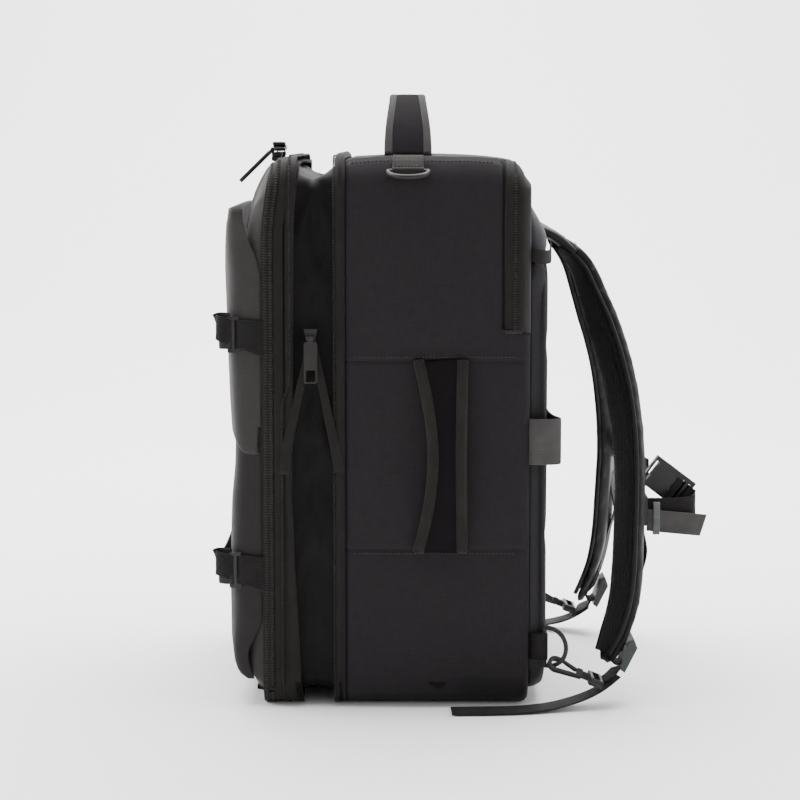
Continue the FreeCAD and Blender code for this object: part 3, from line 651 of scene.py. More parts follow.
PIPE_TURN = math.radians(62)  # where round the top corners the piping runs
MAIN_FRONT, MAIN_REAR = -39, 98
MAIN_DEEP = MAIN_REAR - MAIN_FRONT
EDGE_ROLL = 6
LOW_RUN = 22.6  # how much further back the side panel runs below the laptop zip
TAPE_STEP = 0.8
ZIP_FOOT = 331  # height of the laptop zip's lower ends
pipe_index = [int(np.argmin(np.abs(OX - sign * (HALF - ROUND * (1 - math.cos(PIPE_TURN))))
                            + np.abs(OZ - (TOP - ROUND * (1 - math.sin(PIPE_TURN))))))
              for sign in (1, -1)]
LOW_SIDE = 1 - smooth(OZ, ZIP_FOOT - 3.5, ZIP_FOOT - 0.5)


BASE_PROUD, SIDE_BULGE, TOP_BULGE = 0.9, 2.2, 2.4
SEAM_GROOVE, SEAM_WELT, SEAM_REACH = 1.1, 0.5, 16
PIPE_GROOVE, PIPE_WELT = 1.3, 0.7
REAR_ROUNDING, FRONT_ROUNDING = 3.6, 2.4


def main_lean(depth, low_side=LOW_SIDE):
    """Below the laptop zip the panel runs on to the back's edge."""
    return LOW_RUN * low_side * (depth - MAIN_FRONT) / MAIN_DEEP


def main_proud(y):
    """Panels that belly out between sunk seams, with soft dents and rolled front and rear edges."""
    t = (y - MAIN_FRONT) / MAIN_DEEP
    panels = 1 - sum(bell(OZ - seam, SEAM_REACH) for seam in SEAMS)
    out = (BASE_PROUD + SIDE_BULGE * hump(t, 0.7) * panels) * SIDEWAYS
    out = out + TOP_BULGE * hump(t, 0.6) * UPWARD
    for seam in SEAMS:
        step = OZ - seam
        out = out + SIDEWAYS * (SEAM_WELT * bell(step - 3.5, 2.5) - SEAM_GROOVE * bell(step, 1.5))
    for k in pipe_index:
        gap = np.abs(AROUND - AROUND[k])
        out = out + PIPE_WELT * bell(gap - 3.6, 2.0) - PIPE_GROOVE * bell(gap, 1.6)
    points = case_points(y)
    soft = (ripple(points, (60, 60, 95), 3.0) * 1.5 + ripple(points, (24, 20, 34), 7.0) * 0.7
            + ripple(points, (12, 9, 15), 11.0) * 0.25)
    out = out + soft * (SIDEWAYS + 0.5 * UPWARD) * hump(min(max(t, 0.03), 0.97), 0.5)
    out = np.maximum(out, np.where(np.abs(NZ) > 0.02, 0.5, 0.1) * SIDEWAYS)
    rear = max(0.0, (y - MAIN_REAR + EDGE_ROLL) / EDGE_ROLL)
    front = max(0.0, (MAIN_FRONT + EDGE_ROLL - y) / EDGE_ROLL)
    bend = 1 - math.sqrt(max(0.0, 1 - rear * rear))
    out = out - REAR_ROUNDING * bend * (1 + 0.8 * UPWARD)
    return out - FRONT_ROUNDING * front * front


main_shell = band("main_shell_soft", SHELL, steps(MAIN_FRONT, MAIN_REAR, 2.2), main_proud, wall=3,
                  lean=main_lean)
stands(main_shell, "bag", "shell_fabric", "main_compartment_shell")


def on_case(index, y, out):
    """A point near the outline at one of its places."""
    return np.array([OX[index] + NX[index] * out, y, OZ[index] + NZ[index] * out])


def main_surface(z, y, sign):
    """A point on the main compartment's side at height z and depth y."""
    proud = main_proud(y)
    picked = np.where((OX * sign > 0) & (SIDEWAYS > 0.2))[0]
    order = picked[np.argsort(OZ[picked])]
    out = np.interp(z, OZ[order], proud[order]) + 0.15
    return (sign * (HALF + out), y + main_lean(y, 1), z)


SEAM_STITCH = 3.6  # the topstitching's distance from its seam
rows = []
for sign, _ in SIDES:
    for height in (SEAMS[1] + SEAM_STITCH, SEAMS[0] - SEAM_STITCH):
        rows.append([main_surface(height, y, sign) for y in steps(-32, 88, 4)])
for k in pipe_index:
    below = k - 1 if OX[k] > 0 else k + 1
    rows.append([on_case(below, y, main_proud(y)[below] + 0.1) for y in steps(-33, 90, 4)])
sewn("main_topstitching", rows, THREAD, "bag", "shell_fabric")


def dressed(name, material):
    """A CAD node that stays, in the given material."""
    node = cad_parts[name]
    node.data.materials.clear()
    node.data.materials.append(material)
    return node


for name, material in (("base_board", BOARD), ("laptop_divider", LINING), ("frame_sheet", BOARD)):
    dressed(name, material)


# ---------------------------------------------------------------- the laptop compartment

LAPTOP_REAR = 121
LAPTOP_TAPE, LAPTOP_COIL_Y = (99.2, 115.2), 107.2


def laptop_proud(y):
    """The shell's offset at the top, sides and foot, which round off towards the back."""
    top = np.interp(y, (98, 102, 106, 110, 113, 116, 119, 121),
                    (-2.0, -2.6, -3.6, -6.2, -9.5, -14, -21, -30))
    side = np.interp(y, (98, 112, 116, 119, 121), (-0.5, 0.2, -0.4, -1.6, -4)) - 4.0 * LOW_SIDE
    low = np.interp(y, (98, 106, 112, 117, 121), (-5, -5, -7, -12, -19))
    out = top * UPWARD + side * SIDEWAYS * (1 - UPWARD) * (1 - DOWNWARD) + low * DOWNWARD
    return out + ripple(case_points(y), (40, 20, 55), 5.0) * 0.9 * SIDEWAYS


laptop = band("laptop_shell_soft", BACK, steps(MAIN_REAR, LAPTOP_REAR, 1.6), laptop_proud, wall=2)
stands(laptop, "bag", "shell_fabric", "laptop_compartment_shell")

high_band = np.where(OZ >= ZIP_FOOT)[0]


def laptop_tape_proud(y):
    return laptop_proud(y) + 0.9 + 1.3 * bell(y - 102.8, 3.0) + 1.0 * bell(y - 111.6, 3.0)


laptop_tape = band("laptop_zip_tape_soft", TAPE, steps(*LAPTOP_TAPE, TAPE_STEP), laptop_tape_proud,
                   wall=1.2, pick=high_band)
stands(laptop_tape, "bag", "zip_tape", "laptop_zip_tape")


# ---------------------------------------------------------------- zip teeth

def teeth(name, y, proud, material, half, pitch, radius, pick=None, lean=None):
    """A row of teeth round the case, each lying across the depth."""
    shift = lean(y) if lean else 0
    line = ring_points(proud(y), y + shift)
    line = np.concatenate([line, line[:1]]) if pick is None else line[pick]
    middle = at(line, np.arange(0, lengths(line)[-1], pitch))
    return beads(name, middle - [0, half, 0], middle + [0, half, 0], radius, material, sides=5)


laptop_teeth = teeth("laptop_zip_teeth", LAPTOP_COIL_Y, lambda y: laptop_tape_proud(y) + 0.2,
                     COIL_DARK, half=1.5, pitch=2.2, radius=0.7, pick=high_band)
stands(laptop_teeth, "bag", "zip_tape")
tack_rows = [[(sign * (HALF + 2.0), y, ZIP_FOOT - 0.5 - 0.8 * k) for y in steps(98.5, 113.5, 1.5)]
             for sign, _ in SIDES for k in range(4)]
sewn("laptop_zip_tacks", tack_rows, THREAD, "bag", pitch=1.5, share=0.9, radius=0.45)


# ---------------------------------------------------------------- the expansion section

# From front to rear, the depths of the opened front tape, the gusset and the rear tape.
FRONT_TAPE, GUSSET_SPAN, REAR_TAPE = (-94.2, -83.2), (-90, -43), (-47.4, -38.6)
FRONT_COIL_Y, REAR_COIL_Y = -93.2, -48.2


def rear_tape_proud(y):
    arch = hump((y + 47) / 8, 0.5)
    return 0.5 + 1.6 * arch + 3.0 * arch * UPWARD + 1.2 * arch * SIDEWAYS * smooth(OZ, 430, 477)


rear_tape = band("expansion_rear_tape", TAPE, steps(*REAR_TAPE, TAPE_STEP), rear_tape_proud,
                 wall=1.4)
stands(rear_tape, "bag", "zip_tape", "expansion_zip_rear")
rear_teeth = teeth("expansion_rear_teeth", REAR_COIL_Y, lambda y: rear_tape_proud(-46.4) - 0.5,
                   COIL, half=0.9, pitch=2.2, radius=0.75)
stands(rear_teeth, "bag", "zip_tape")


GUSSET_SUNK, GUSSET_SIDE, GUSSET_TOP, GUSSET_FOOT = 3.4, 1.6, 17.0, 11.0


def gusset_proud(y):
    """Folded inwards between its two tapes, with slack creases."""
    t = min(max((y - GUSSET_SPAN[0] - 2) / 43, 0.0), 1.0)
    fold = 1 - abs(2 * t - 1)
    mid = hump(t)
    points = case_points(y)
    out = -GUSSET_SUNK - GUSSET_SIDE * mid * SIDEWAYS
    out = out - GUSSET_TOP * fold ** 0.85 * UPWARD ** 1.5 - GUSSET_FOOT * mid ** 0.7 * DOWNWARD
    vee = OZ + 1.5 * abs(y + 67)
    near_top = smooth(OZ, 330, 470) * SIDEWAYS
    out = out + 1.9 * np.sin(vee / 7.5 + ripple(points, (60, 30, 60), 2.0) * 2.5) * near_top * mid
    slack = ripple(points, (30, 14, 42), 9.0) * 2.2 + ripple(points, (14, 7, 20), 4.0) * 1.0
    return out + slack * mid * (0.35 + SIDEWAYS)


gusset = band("gusset_soft", GUSSET, steps(*GUSSET_SPAN, 1.5), gusset_proud, wall=1.0)
stands(gusset, "bag", "gusset_fabric", "expansion_gusset")
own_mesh(gusset)


def wave(z):
    """How far the opened front tape wanders below the slider, along the depth."""
    return np.interp(z, (0, 40, 90, 130, 165, 190, 216, 250, 330, 405, 477),
                     (6.5, 5.2, 2.5, 0.5, -0.5, -2.5, -1.5, 0.0, 0.0, 0.8, 3.0))


def tape_lean(depth):
    """The tape's rear edge wanders; its front edge is sewn down."""
    share = float(smooth(depth, -93, -86))
    return share * (wave(OZ) * SIDEWAYS + wave(477) * UPWARD ** 2 + wave(0) * DOWNWARD ** 2)


def front_tape_proud(y):
    t = (y + 90) / 7
    loose = max(t, 0) * SIDEWAYS * smooth(230 - OZ, 0, 60)
    out = 0.6 + 1.2 * hump(t, 0.5) + 1.4 * t * UPWARD + loose
    sewn_edge = float(smooth(-90.4 - y, 0, 1.0))
    return out - sewn_edge * (0.4 + 2.6 * smooth(OZ, 262, 288))


front_tape = band("expansion_front_tape", TAPE, steps(*FRONT_TAPE, TAPE_STEP), front_tape_proud,
                  wall=1.2, lean=tape_lean)
stands(front_tape, "front_section", "zip_tape", "expansion_zip_front")
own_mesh(front_tape)


def coil_place(_):
    """How far back from the tape's sewn edge the opened coil lies."""
    return 7.0 * (1 - (1 - smooth(OZ, 262, 292)) * SIDEWAYS)


front_teeth = teeth("expansion_front_teeth", FRONT_COIL_Y,
                    lambda y: np.maximum(front_tape_proud(-87), front_tape_proud(-93)) + 0.2, COIL,
                    half=0.9, lean=coil_place, pitch=2.2, radius=0.7)
stands(front_teeth, "front_section", "zip_tape")
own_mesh(front_teeth)


# The opened ends of the expansion zip: two tapes that spread from the slider as an upturned V.
end_lines = {
    "front": [(157.0, -67.5, 330), (157.2, -69, 318), (157.2, -76, 288), (157.0, -84, 252),
              (157.3, -90, 226), (157.0, -92.5, 206)],
    "rear": [(157.0, -66.5, 330), (157.2, -65, 318), (157.2, -59, 288), (157.0, -52, 252),
             (157.3, -46.5, 228), (157.0, -43.5, 208)],
}
for sign, hand in SIDES:
    for part, route in end_lines.items():
        line = spline(sided(route, sign))
        way = 1 if part == "front" else -1
        wide = np.interp(np.linspace(0, 1, len(line)), (0, 0.12, 0.8, 1), (2.5, 5.0, 8.0, 8.5))
        strip = ribbon("zip_end_%s_%s" % (part, hand), line, (0, 1.0, 0.25 * way), wide, 1.1, TAPE,
                       count=14)
        stands(strip, "bag", "zip_tape", "expansion_zip_ends")
        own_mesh(strip)
        inner = line + np.array(DEEP) * wide[:, None] / 2 * way
        middle = at(inner, np.arange(0, lengths(inner)[-1], 2.0))
        edge = beads("zip_end_teeth_%s_%s" % (part, hand), middle - [0, 0.7, 0],
                     middle + [0, 0.7, 0], 0.62, COIL_DARK, sides=5)
        stands(edge, "bag", "zip_tape")
        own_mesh(edge)


# ---------------------------------------------------------------- the front frame and the cover

# Depths of the front frame, of the cover zip's two tapes, and of their coils.
FRAME_SPAN, ZIP_REAR_TAPE, ZIP_FRONT_TAPE = (-106, -84.5), (-100.7, -91.6), (-110.6, -101.3)
ZIP_REAR_COIL_Y, ZIP_FRONT_COIL_Y = -102.0, -107.4
# 1 along the top edge under the cover's two sliders, 0 elsewhere.
SLIDER_SPAN = np.exp(-((OX - 26) / 52) ** 6) * UPWARD


def cover_lean(_):
    """How far back the cover's zip runs along the top, except under its two sliders."""
    return 7.0 * smooth(OZ, 405, 480) * (1 - 0.85 * SLIDER_SPAN)


def brow_drop(depth):
    """How far the top edge falls away towards the rounded front."""
    fall = np.interp(depth + cover_lean(depth), (-126, -120, -113, -107, -101.5, -94, -88),
                     (56, 41, 24, 13, 5.5, 1.5, 0))
    return fall * (1 - 0.45 * SLIDER_SPAN) * UPWARD ** 1.2


frame_band = band("front_frame_soft", SHELL, steps(*FRAME_SPAN, 1.5),
                  lambda y: -1.6 - 1.4 * (y > -92) - brow_drop(y), wall=2.5, lean=cover_lean)
stands(frame_band, "front_section", "shell_fabric", "front_frame")


def rear_zip_proud(y):
    return 0.9 + 0.9 * hump((y + 100.8) / 9, 0.4) - brow_drop(y)


def front_zip_proud(y):
    t = (-101.2 - y) / 9
    return 1.7 - 1.6 * max(0.0, t) ** 2 - brow_drop(y)


cover_zip_rear = band("cover_zip_tape_rear_soft", TAPE, steps(*ZIP_REAR_TAPE, TAPE_STEP),
                      rear_zip_proud, wall=1.4, lean=cover_lean)
stands(cover_zip_rear, "front_section", "zip_tape", "cover_zip_tape_rear")
FOLD_Z = 14.0  # height of the line about which the cover folds down
cover_rows = np.where(OZ >= FOLD_Z)[0]
low_rows = np.where(OZ < FOLD_Z)[0]
gap = int(np.argmax(np.diff(low_rows))) + 1
low_rows = np.concatenate([low_rows[gap:], low_rows[:gap]])
for part, rows, body, nodes in (("cover_zip_tape_front_soft", cover_rows, "front_cover",
                                 ("cover_zip_tape_front",)),
                                ("cover_zip_tape_low", low_rows, "front_section", ())):
    tape = band(part, TAPE, steps(*ZIP_FRONT_TAPE, TAPE_STEP), front_zip_proud, wall=1.4,
                lean=cover_lean, pick=rows)
    stands(tape, body, "zip_tape", *nodes)
for name, y, rows, body in (
        ("cover_zip_teeth_rear", ZIP_REAR_COIL_Y, cover_rows, "front_section"),
        ("cover_zip_teeth_front", ZIP_FRONT_COIL_Y, cover_rows, "front_cover"),
        ("cover_zip_teeth_low", ZIP_REAR_COIL_Y, low_rows, "front_section"),
        ("cover_zip_teeth_low_front", ZIP_FRONT_COIL_Y, low_rows, "front_section")):
    row = teeth(name, y, lambda y: front_zip_proud(y) + 0.05, COIL, half=1.5, pick=rows,
                lean=cover_lean, pitch=2.3, radius=0.7)
    stands(row, body, "zip_tape")

# Inset from the outline against the distance in front of the zip: at the sides, top and foot.
COVER_PROFILES = (
    ((0, 0), (0.2, 5), (0.8, 10), (2.4, 15), (5.5, 19.5), (9.5, 22.4), (15, 23.6)),
    ((1.5, 0), (5.5, 7.5), (13, 13), (24, 19), (33, 23), (43, 26.2), (62, 30.6)),
    ((0, 0), (3, 6.6), (8, 11.6), (14, 16.1), (20, 20.6), (26, 23.2), (36, 23.6)),
)
LIP_ROWS = 10
ZIP_Y, REACH = -101.4, 150  # the cover's zip, and how far in from the outline its loops end


def cover_loops():
    """Loops of the padded front from its zip to its middle, before it is cut at the fold."""
    top_share = smooth(NZ, -0.1, 0.95)
    low_share = smooth(-NZ, 0.0, 0.9)
    upper_side = 0.45 * smooth(OZ, 395, 455) * (1 - top_share) * (1 - low_share)
    top_share = top_share + upper_side
    side_share = 1 - top_share - low_share
    lean = cover_lean(0)
    loops = []

    def loop(inset, y):
        x = OX * (1 - inset / HALF)
        z = MIDDLE + (OZ - MIDDLE) * (1 - inset / MIDDLE)
        return np.stack([x, np.broadcast_to(y, x.shape), z], 1)

    curves = []
    for profile in COVER_PROFILES:
        line = spline([(inset, -ahead, 0) for inset, ahead in profile], 6)
        curves.append(evenly(line, 20))
    for places in zip(*curves):
        inset, ahead, _ = sum(share[:, None] * place for share, place in
                              zip((side_share, top_share, low_share), places)).T
        loops.append(loop(inset, ZIP_Y + lean + ahead))
    rim, edge = inset, loops[-1][:, 1]
    for t in np.linspace(0, 1, 24)[1:]:
        base = loop(rim + (REACH - rim) * t, edge)
        puff = 3.0 * math.sin(math.pi / 2 * min(1.0, t * 2.2))
        puff = puff + ripple(base, (60, 60, 60), 1.0) * 1.2
        base[:, 1] = edge + (-125.0 - edge) * min(1.0, t * 3) - puff * min(1.0, t * 3)
        loops.append(base)
    inner = [loop(3.0, ZIP_Y + lean), loop(3.0 + 12 * top_share, -109.0),
             loop(24 + 40 * top_share, -121.5), loop(REACH, -121.5)]
    return np.stack(loops), np.stack(inner)


def cover_front():
    """The padded front above its fold line."""
    outer, inner = cover_loops()
    outer[:, :, 2] = np.maximum(outer[:, :, 2], FOLD_Z + 0.2)
    inner[:, :, 2] = np.maximum(inner[:, :, 2], FOLD_Z + 2.4)
    return sweep("cover_shell_soft", np.concatenate([outer[::-1], inner]), SHELL_LIGHT)


def cover_foot():
    """The short lip below the fold line, which stays with the frame."""
    outer = cover_loops()[0][:LIP_ROWS, low_rows]
    outer[:, :, 2] = np.minimum(outer[:, :, 2], FOLD_Z - 0.6)
    top = outer[-1].copy()
    top[:, 1] = outer[0, :, 1]
    top[:, 2] = FOLD_Z - 0.6
    grid = np.concatenate([outer, top[None]])
    return piece("cover_lip", grid, lattice(*grid.shape[:2], True, False), SHELL_LIGHT)


stands(cover_front(), "front_cover", "shell_fabric", "cover_shell")
stands(cover_foot(), "front_section", "shell_fabric")


def even_turns(wide, deep, bend_across, bend_deep, count):
    """Angles from 0 to pi at which a squarish arch's points are evenly spaced."""
    fine = np.linspace(0, math.pi, 4001)
    curve = np.stack([wide * bent(np.cos(fine), bend_across),
                      deep * np.abs(np.sin(fine)) ** bend_deep], 1)
    run = lengths(curve)
    return np.interp(np.linspace(0, run[-1], count), run, fine)


ROUND_SIDE, ROUND_FRONT = 0.25, 0.3  # how squarely a pocket wraps round the cover
POCKET_HALF = 154.4


def front_pocket(name, low, high, deep, edge_y, hem, material, shrink, seed):
    """A pocket panel wrapped round the cover's front: open above, hemmed below."""
    columns, rows = 131, 60
    turn = even_turns(154, 31, ROUND_SIDE, ROUND_FRONT, columns)
    c, s = np.cos(turn), np.sin(turn)
    share = np.linspace(0, 1, rows)
    grid = []
    for t in share:
        z = low + (high - low) * t + hem * np.abs(c) ** 5 * (1 - t) ** 2
        back = edge_y(z)
        grid.append(np.stack([(POCKET_HALF - shrink(z)) * bent(c, ROUND_SIDE),
                              back - (deep(z) + back) * np.abs(s) ** ROUND_FRONT, z], 1))
    grid = np.array(grid)
    soft = ripple(grid, (55, 55, 70), seed) * 2.0 + ripple(grid, (20, 20, 46), seed + 4) * 0.9
    fade = smooth(share, 0, 0.08) * smooth(1 - share, 0, 0.05)
    grid[:, :, 1] -= np.maximum(soft, -1.5) * (0.25 + 0.75 * np.abs(s) ** 0.6) * fade[:, None]
    return thickened(piece(name, grid, lattice(rows, columns), material), 2.2)


# Heights, and the depth of each pocket's front (and of the lower one's side edge) at them.
UPPER_DEPTH = (225, 245, 300, 380, 420, 434), (137.5, 139.5, 142.5, 143.5, 143, 141)
LOWER_DEPTH = ((24, 26, 29, 33, 39, 60, 120, 180, 230, 245),
               (128, 132, 135, 137, 139, 141, 141.5, 139.5, 136, 134.5))
LOWER_EDGE = ((24, 31, 39, 45, 51, 57, 63, 69, 76, 90),
              (-119, -121.5, -123.5, -124, -123, -120.5, -117.2, -114, -111.6, -110.5))
# The upper pocket gets the copy with painted light, and the lower pocket gets the copy with painted
# shade.
upper_pocket = front_pocket(
    "upper_pocket_soft", low=243, high=434, deep=lambda z: np.interp(z, *UPPER_DEPTH),
    edge_y=lambda z: -110.5 - 16 * smooth(z, 372, 430), hem=-20, material=POCKET_PAINTED_LIT,
    shrink=lambda z: 12 * smooth(z, 395, 434), seed=3.0)
stands(upper_pocket, "front_cover", "pocket_fabric", "upper_front_pocket")
lower_pocket = front_pocket(
    "lower_pocket_soft", low=24, high=247, deep=lambda z: np.interp(z, *LOWER_DEPTH),
    edge_y=lambda z: np.interp(z, *LOWER_EDGE), hem=0, material=POCKET_PAINTED_SHADE,
    shrink=lambda z: 5 * (1 - smooth(z, 20, 60)), seed=8.0)
stands(lower_pocket, "front_cover", "pocket_fabric", "lower_front_pocket")


# ---------------------------------------------------------------- compression straps

for name, z, stand in (("upper", 327, 0.0), ("lower", 122, 2.0)):
    front = -146.6 - stand
    half_route = [(154.4, -134.5, z), (155.8, -139.0, z), (156.0, -143.5, z), (153.0, front, z),
                  (144, front, z), (110, -145.6 - stand * 0.4, z), (60, -146.4, z)]
    web("compression_webbing_" + name, right_across(half_route, (0, -147, z)), UPRIGHT, STRAP_WIDE,
        1.7, WEB, "front_cover", "compression_strap_" + name)
    slack = [(155.6, -135.5, z + 1), (157.4, -142, z + 4), (155.5, -148.5 - stand, z + 6),
             (149, -149.4 - stand, z + 7), (150.5, -144 - stand, z + 9), (154.5, -138.5, z + 8)]
    tab_route = [(155.0, -106.5, z - 4), (156.6, -111, z - 3), (157.2, -118, z - 1.5),
                 (157.2, -125, z), (156.8, -129.6, z + 0.5), (155.2, -131.4, z + 0.5),
                 (154.2, -128, z), (154.6, -121, z)]
    for sign, hand in SIDES:
        end = "%s_%s" % (name, hand)
        web("compression_loop_" + end, sided(slack, sign), UPRIGHT, 21, TAB_THICK, WEB_DARK,
            "front_cover")
        tab_line = spline(sided(tab_route, sign))
        wide = np.interp(lengths(tab_line), (0, 22), (31, STRAP_WIDE))
        tab = ribbon("compression_tab_" + end, tab_line, UPRIGHT, wide, WEB_THICK, WEB_DARK)
        stands(tab, "front_cover", "webbing", "compression_tabs")
        edges = [[(sign * 158.1, y, z - 1 + rise) for y in steps(-127, -112, 2)]
                 for rise in (-10.5, 10.5)]
        edges.append([(sign * 157.9, -112.5, h) for h in steps(z - 11.5, z + 9.5, 2)])
        sewn("compression_tab_stitches_" + end, edges, THREAD_DARK, "front_cover", radius=0.35)


# ---------------------------------------------------------------- handles

def top_handle():
    """A padded grip with bound edges, arched over the case between its two ends."""
    half, rise = 131.0, 53.0
    radius = (half * half + rise * rise) / (2 * rise)
    turn = 2 * np.linspace(0, 1, 61) - 1
    angle = math.asin(half / radius) * turn
    line = np.stack([-radius * np.sin(angle), np.full_like(turn, RING_Y),
                     TOP + 1.2 + rise - radius + radius * np.cos(angle)], 1)
    middle = 1 - np.abs(turn)
    wide = 41 - 8 * smooth(middle, 0.05, 0.8)
    core = ribbon("top_handle_core", line, DEEP, wide - 9, 5.2 + 1.2 * smooth(middle, 0, 0.3),
                  HANDLE, power=4.0, count=28)
    stands(core, "bag", "webbing", "top_handle")
    rows = []
    for way, label in ((-1, "front"), (1, "rear")):
        edge = line + np.array([0, way, 0]) * (wide[:, None] / 2 - 3.9)
        roll = ribbon("top_handle_binding_" + label, edge, DEEP, 7.8, 6.4, BINDING, power=2.6,
                      count=18)
        stands(roll, "bag", "webbing")
        rows += [edge + [0, -way * 2.4, high * 2.9] for high in (1, -1)]
    sewn("top_handle_stitches", rows, THREAD, "bag", radius=0.38, pitch=3.0)


RING_Y = 15.5  # depth of the top handle and of the rings at its ends
top_handle()


def side_handle(sign, hand):
    """A flat grip between the two seams, its front edge bowed out."""
    turn = np.linspace(0, 1, 71)
    bite = np.sin(math.pi * turn)
    front, rear = 20 + 12.5 * bite, 67 - 1.5 * bite
    out = HALF + 1.4 + 15.2 * bite ** 0.72
    line = np.stack([sign * out, (front + rear) / 2, 139 + 165 * turn], 1)
    made = [ribbon("side_handle_core_" + hand, line, DEEP, rear - front - 11, 3.4 + 1.0 * bite,
                   HANDLE, power=4.0, count=28)]
    rows = []
    for way, label, edge_y in ((-1, "front", front + 4.6), (1, "rear", rear - 4.6)):
        edge = np.stack([line[:, 0] + sign * 0.8, edge_y, line[:, 2]], 1)
        made.append(ribbon("side_handle_binding_%s_%s" % (label, hand), edge, DEEP, 9.8,
                           7.0 + 2.2 * bite, BINDING, power=2.3, count=18))
        rows.append(edge + [sign * 2.4, -way * 4.0, 0])
    made.append(stitches("side_handle_stitches_" + hand, rows, THREAD_DARK, radius=0.35, pitch=3.0))
    return made


right_side = side_handle(1, "right")
for part in right_side:
    stands(part, "bag", "webbing")
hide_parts("side_handle")


# ---------------------------------------------------------------- webbing tabs at the rings

TOP_TAB = [(124, RING_Y, 479.6), (138, RING_Y, 479.6), (149, RING_Y, 476.4), (155.2, RING_Y, 471.6),
           (158.2, RING_Y, 469.4), (161.2, RING_Y, 468.4), (161.8, RING_Y, 464.8),
           (158.8, RING_Y, 463.4), (156.2, RING_Y, 465.0)]
LOW_TAB = [(140, 119.5, 53), (148, 122, 53), (152, 127, 53), (153.2, 131.5, 53), (152.6, 136, 53),
           (149.8, 137.6, 53), (147.4, 135.6, 53), (147.2, 130, 53), (144.5, 124, 53)]
for sign, hand in SIDES:
    web("top_ring_tab_" + hand, sided(TOP_TAB, sign), DEEP, 27, TAB_THICK, BINDING, "bag",
        "ring_tabs")
    top_line = spline(sided(TOP_TAB[1:5], sign))
    lift = np.array([sign * 0.7, 0, 0.7])
    rows = [top_line + lift + [0, way * 11.5, 0] for way in (-1, 1)]
    for share in (0.35, 0.95):
        spot = at(top_line, [lengths(top_line)[-1] * share])[0] + lift
        rows.append([spot + [0, dy, 0] for dy in steps(-11.5, 11.5, 2)])
    sewn("top_ring_tab_stitches_" + hand, rows, THREAD, "bag", radius=0.4, pitch=2.8)
    web("low_ring_tab_" + hand, sided(LOW_TAB, sign), UPRIGHT, 24, TAB_THICK, WEB_DARK, "bag")


# ---------------------------------------------------------------- the back

def cushion(name, low, high, back, front, material, corner, crown, channels):
    """A padded panel: rounded outline, crowned face, sewn channels; low and high are (x, z)."""
    middle_x, middle_z = (low[0] + high[0]) / 2, (low[1] + high[1]) / 2
    half_x, half_z = (high[0] - low[0]) / 2, (high[1] - low[1]) / 2
    columns, rows_number = 81, 101

    def crowded(number):
        """Places from -1 to 1, closer together at both ends."""
        places = np.linspace(-1, 1, number)
        return np.copysign(1 - (1 - np.abs(places)) ** 1.25, places)

    grid = []
    for b in crowded(rows_number):
        line = []
        for a in crowded(columns):
            x, z = a * half_x, b * half_z
            over_x, over_z = abs(x) - (half_x - corner), abs(z) - (half_z - corner)
            rim = min(half_x - abs(x), half_z - abs(z))
            if over_x > 0 and over_z > 0:
                rim = corner - max(over_x, over_z)
                scale = max(over_x, over_z) / math.hypot(over_x, over_z)
                x = math.copysign(half_x - corner + over_x * scale, x)
                z = math.copysign(half_z - corner + over_z * scale, z)
            edge = 1 - (1 - min(1.0, max(rim, 0) / 9.0)) ** 2
            rise = (front - back) * math.sqrt(max(edge, 0)) + crown * smooth(rim, 6, 60)
            fade = float(smooth(rim, 7, 24))
            for channel in channels:
                rise -= fade * channel(x + middle_x, z + middle_z)
            line.append((middle_x + x, back + max(rise, 0.0), middle_z + z))
        grid.append(line)
    grid = np.array(grid)
    grid[:, :, 1] += ripple(grid, (45, 45, 60), 6.0) * 0.8 * (grid[:, :, 1] > back + 4)
    flat_back = grid.copy()
    flat_back[:, :, 1] = back - 0.5
    points = np.concatenate([grid.reshape(-1, 3), flat_back.reshape(-1, 3)])
    size = rows_number * columns
    faces = lattice(rows_number, columns)
    faces += [tuple(size + k for k in face[::-1]) for face in faces]
    border = (list(range(columns)) + [columns * r + columns - 1 for r in range(1, rows_number)]
              + [size - 1 - k for k in range(1, columns)]
              + [columns * r for r in range(rows_number - 2, 0, -1)])
    for k, l in zip(border, border[1:] + border[:1]):
        faces.append((k, l, size + l, size + k))
    return piece(name, points, faces, material)


def face_of_mesh(made, material, steep):
    """Gives the faces that look backwards another cloth."""
    made.data.materials.append(material)
    normals = np.zeros(len(made.data.polygons) * 3, np.float32)
    made.data.polygons.foreach_get("normal", normals)
    facing = normals.reshape(-1, 3)[:, 1] > steep
    made.data.polygons.foreach_set("material_index", facing.astype(np.int32))
    made.data.update()


def spine(x, _):
    return 9.0 * bell(x, 15)


def cross_channel(level):
    return lambda x, z: 5.0 * bell(z - level, 5) * (1 if abs(x) > 8 else 0.4)


back_pad = cushion("back_pad_soft", low=(-149, 9), high=(149, 400), back=119.5, front=134.8,
                   material=BACK, corner=26, crown=1.5,
                   channels=(spine, cross_channel(150), cross_channel(318)))
swollen(back_pad, voxel=5.5, pressure=3.0, cap=1.8, steps=12)
face_of_mesh(back_pad, MESH, 0.82)
stands(back_pad, "bag", "pad_fabric", "back_pad")

rim = ribbon("back_pad_piping", squircle((0, 133.0, 204.5), 146.2, 192.5, 2 / 9, 2 / 9, 240), DEEP,
             3.4, 3.4, BACK, power=2.0, closed=True, count=12)
stands(rim, "bag", "pad_fabric")


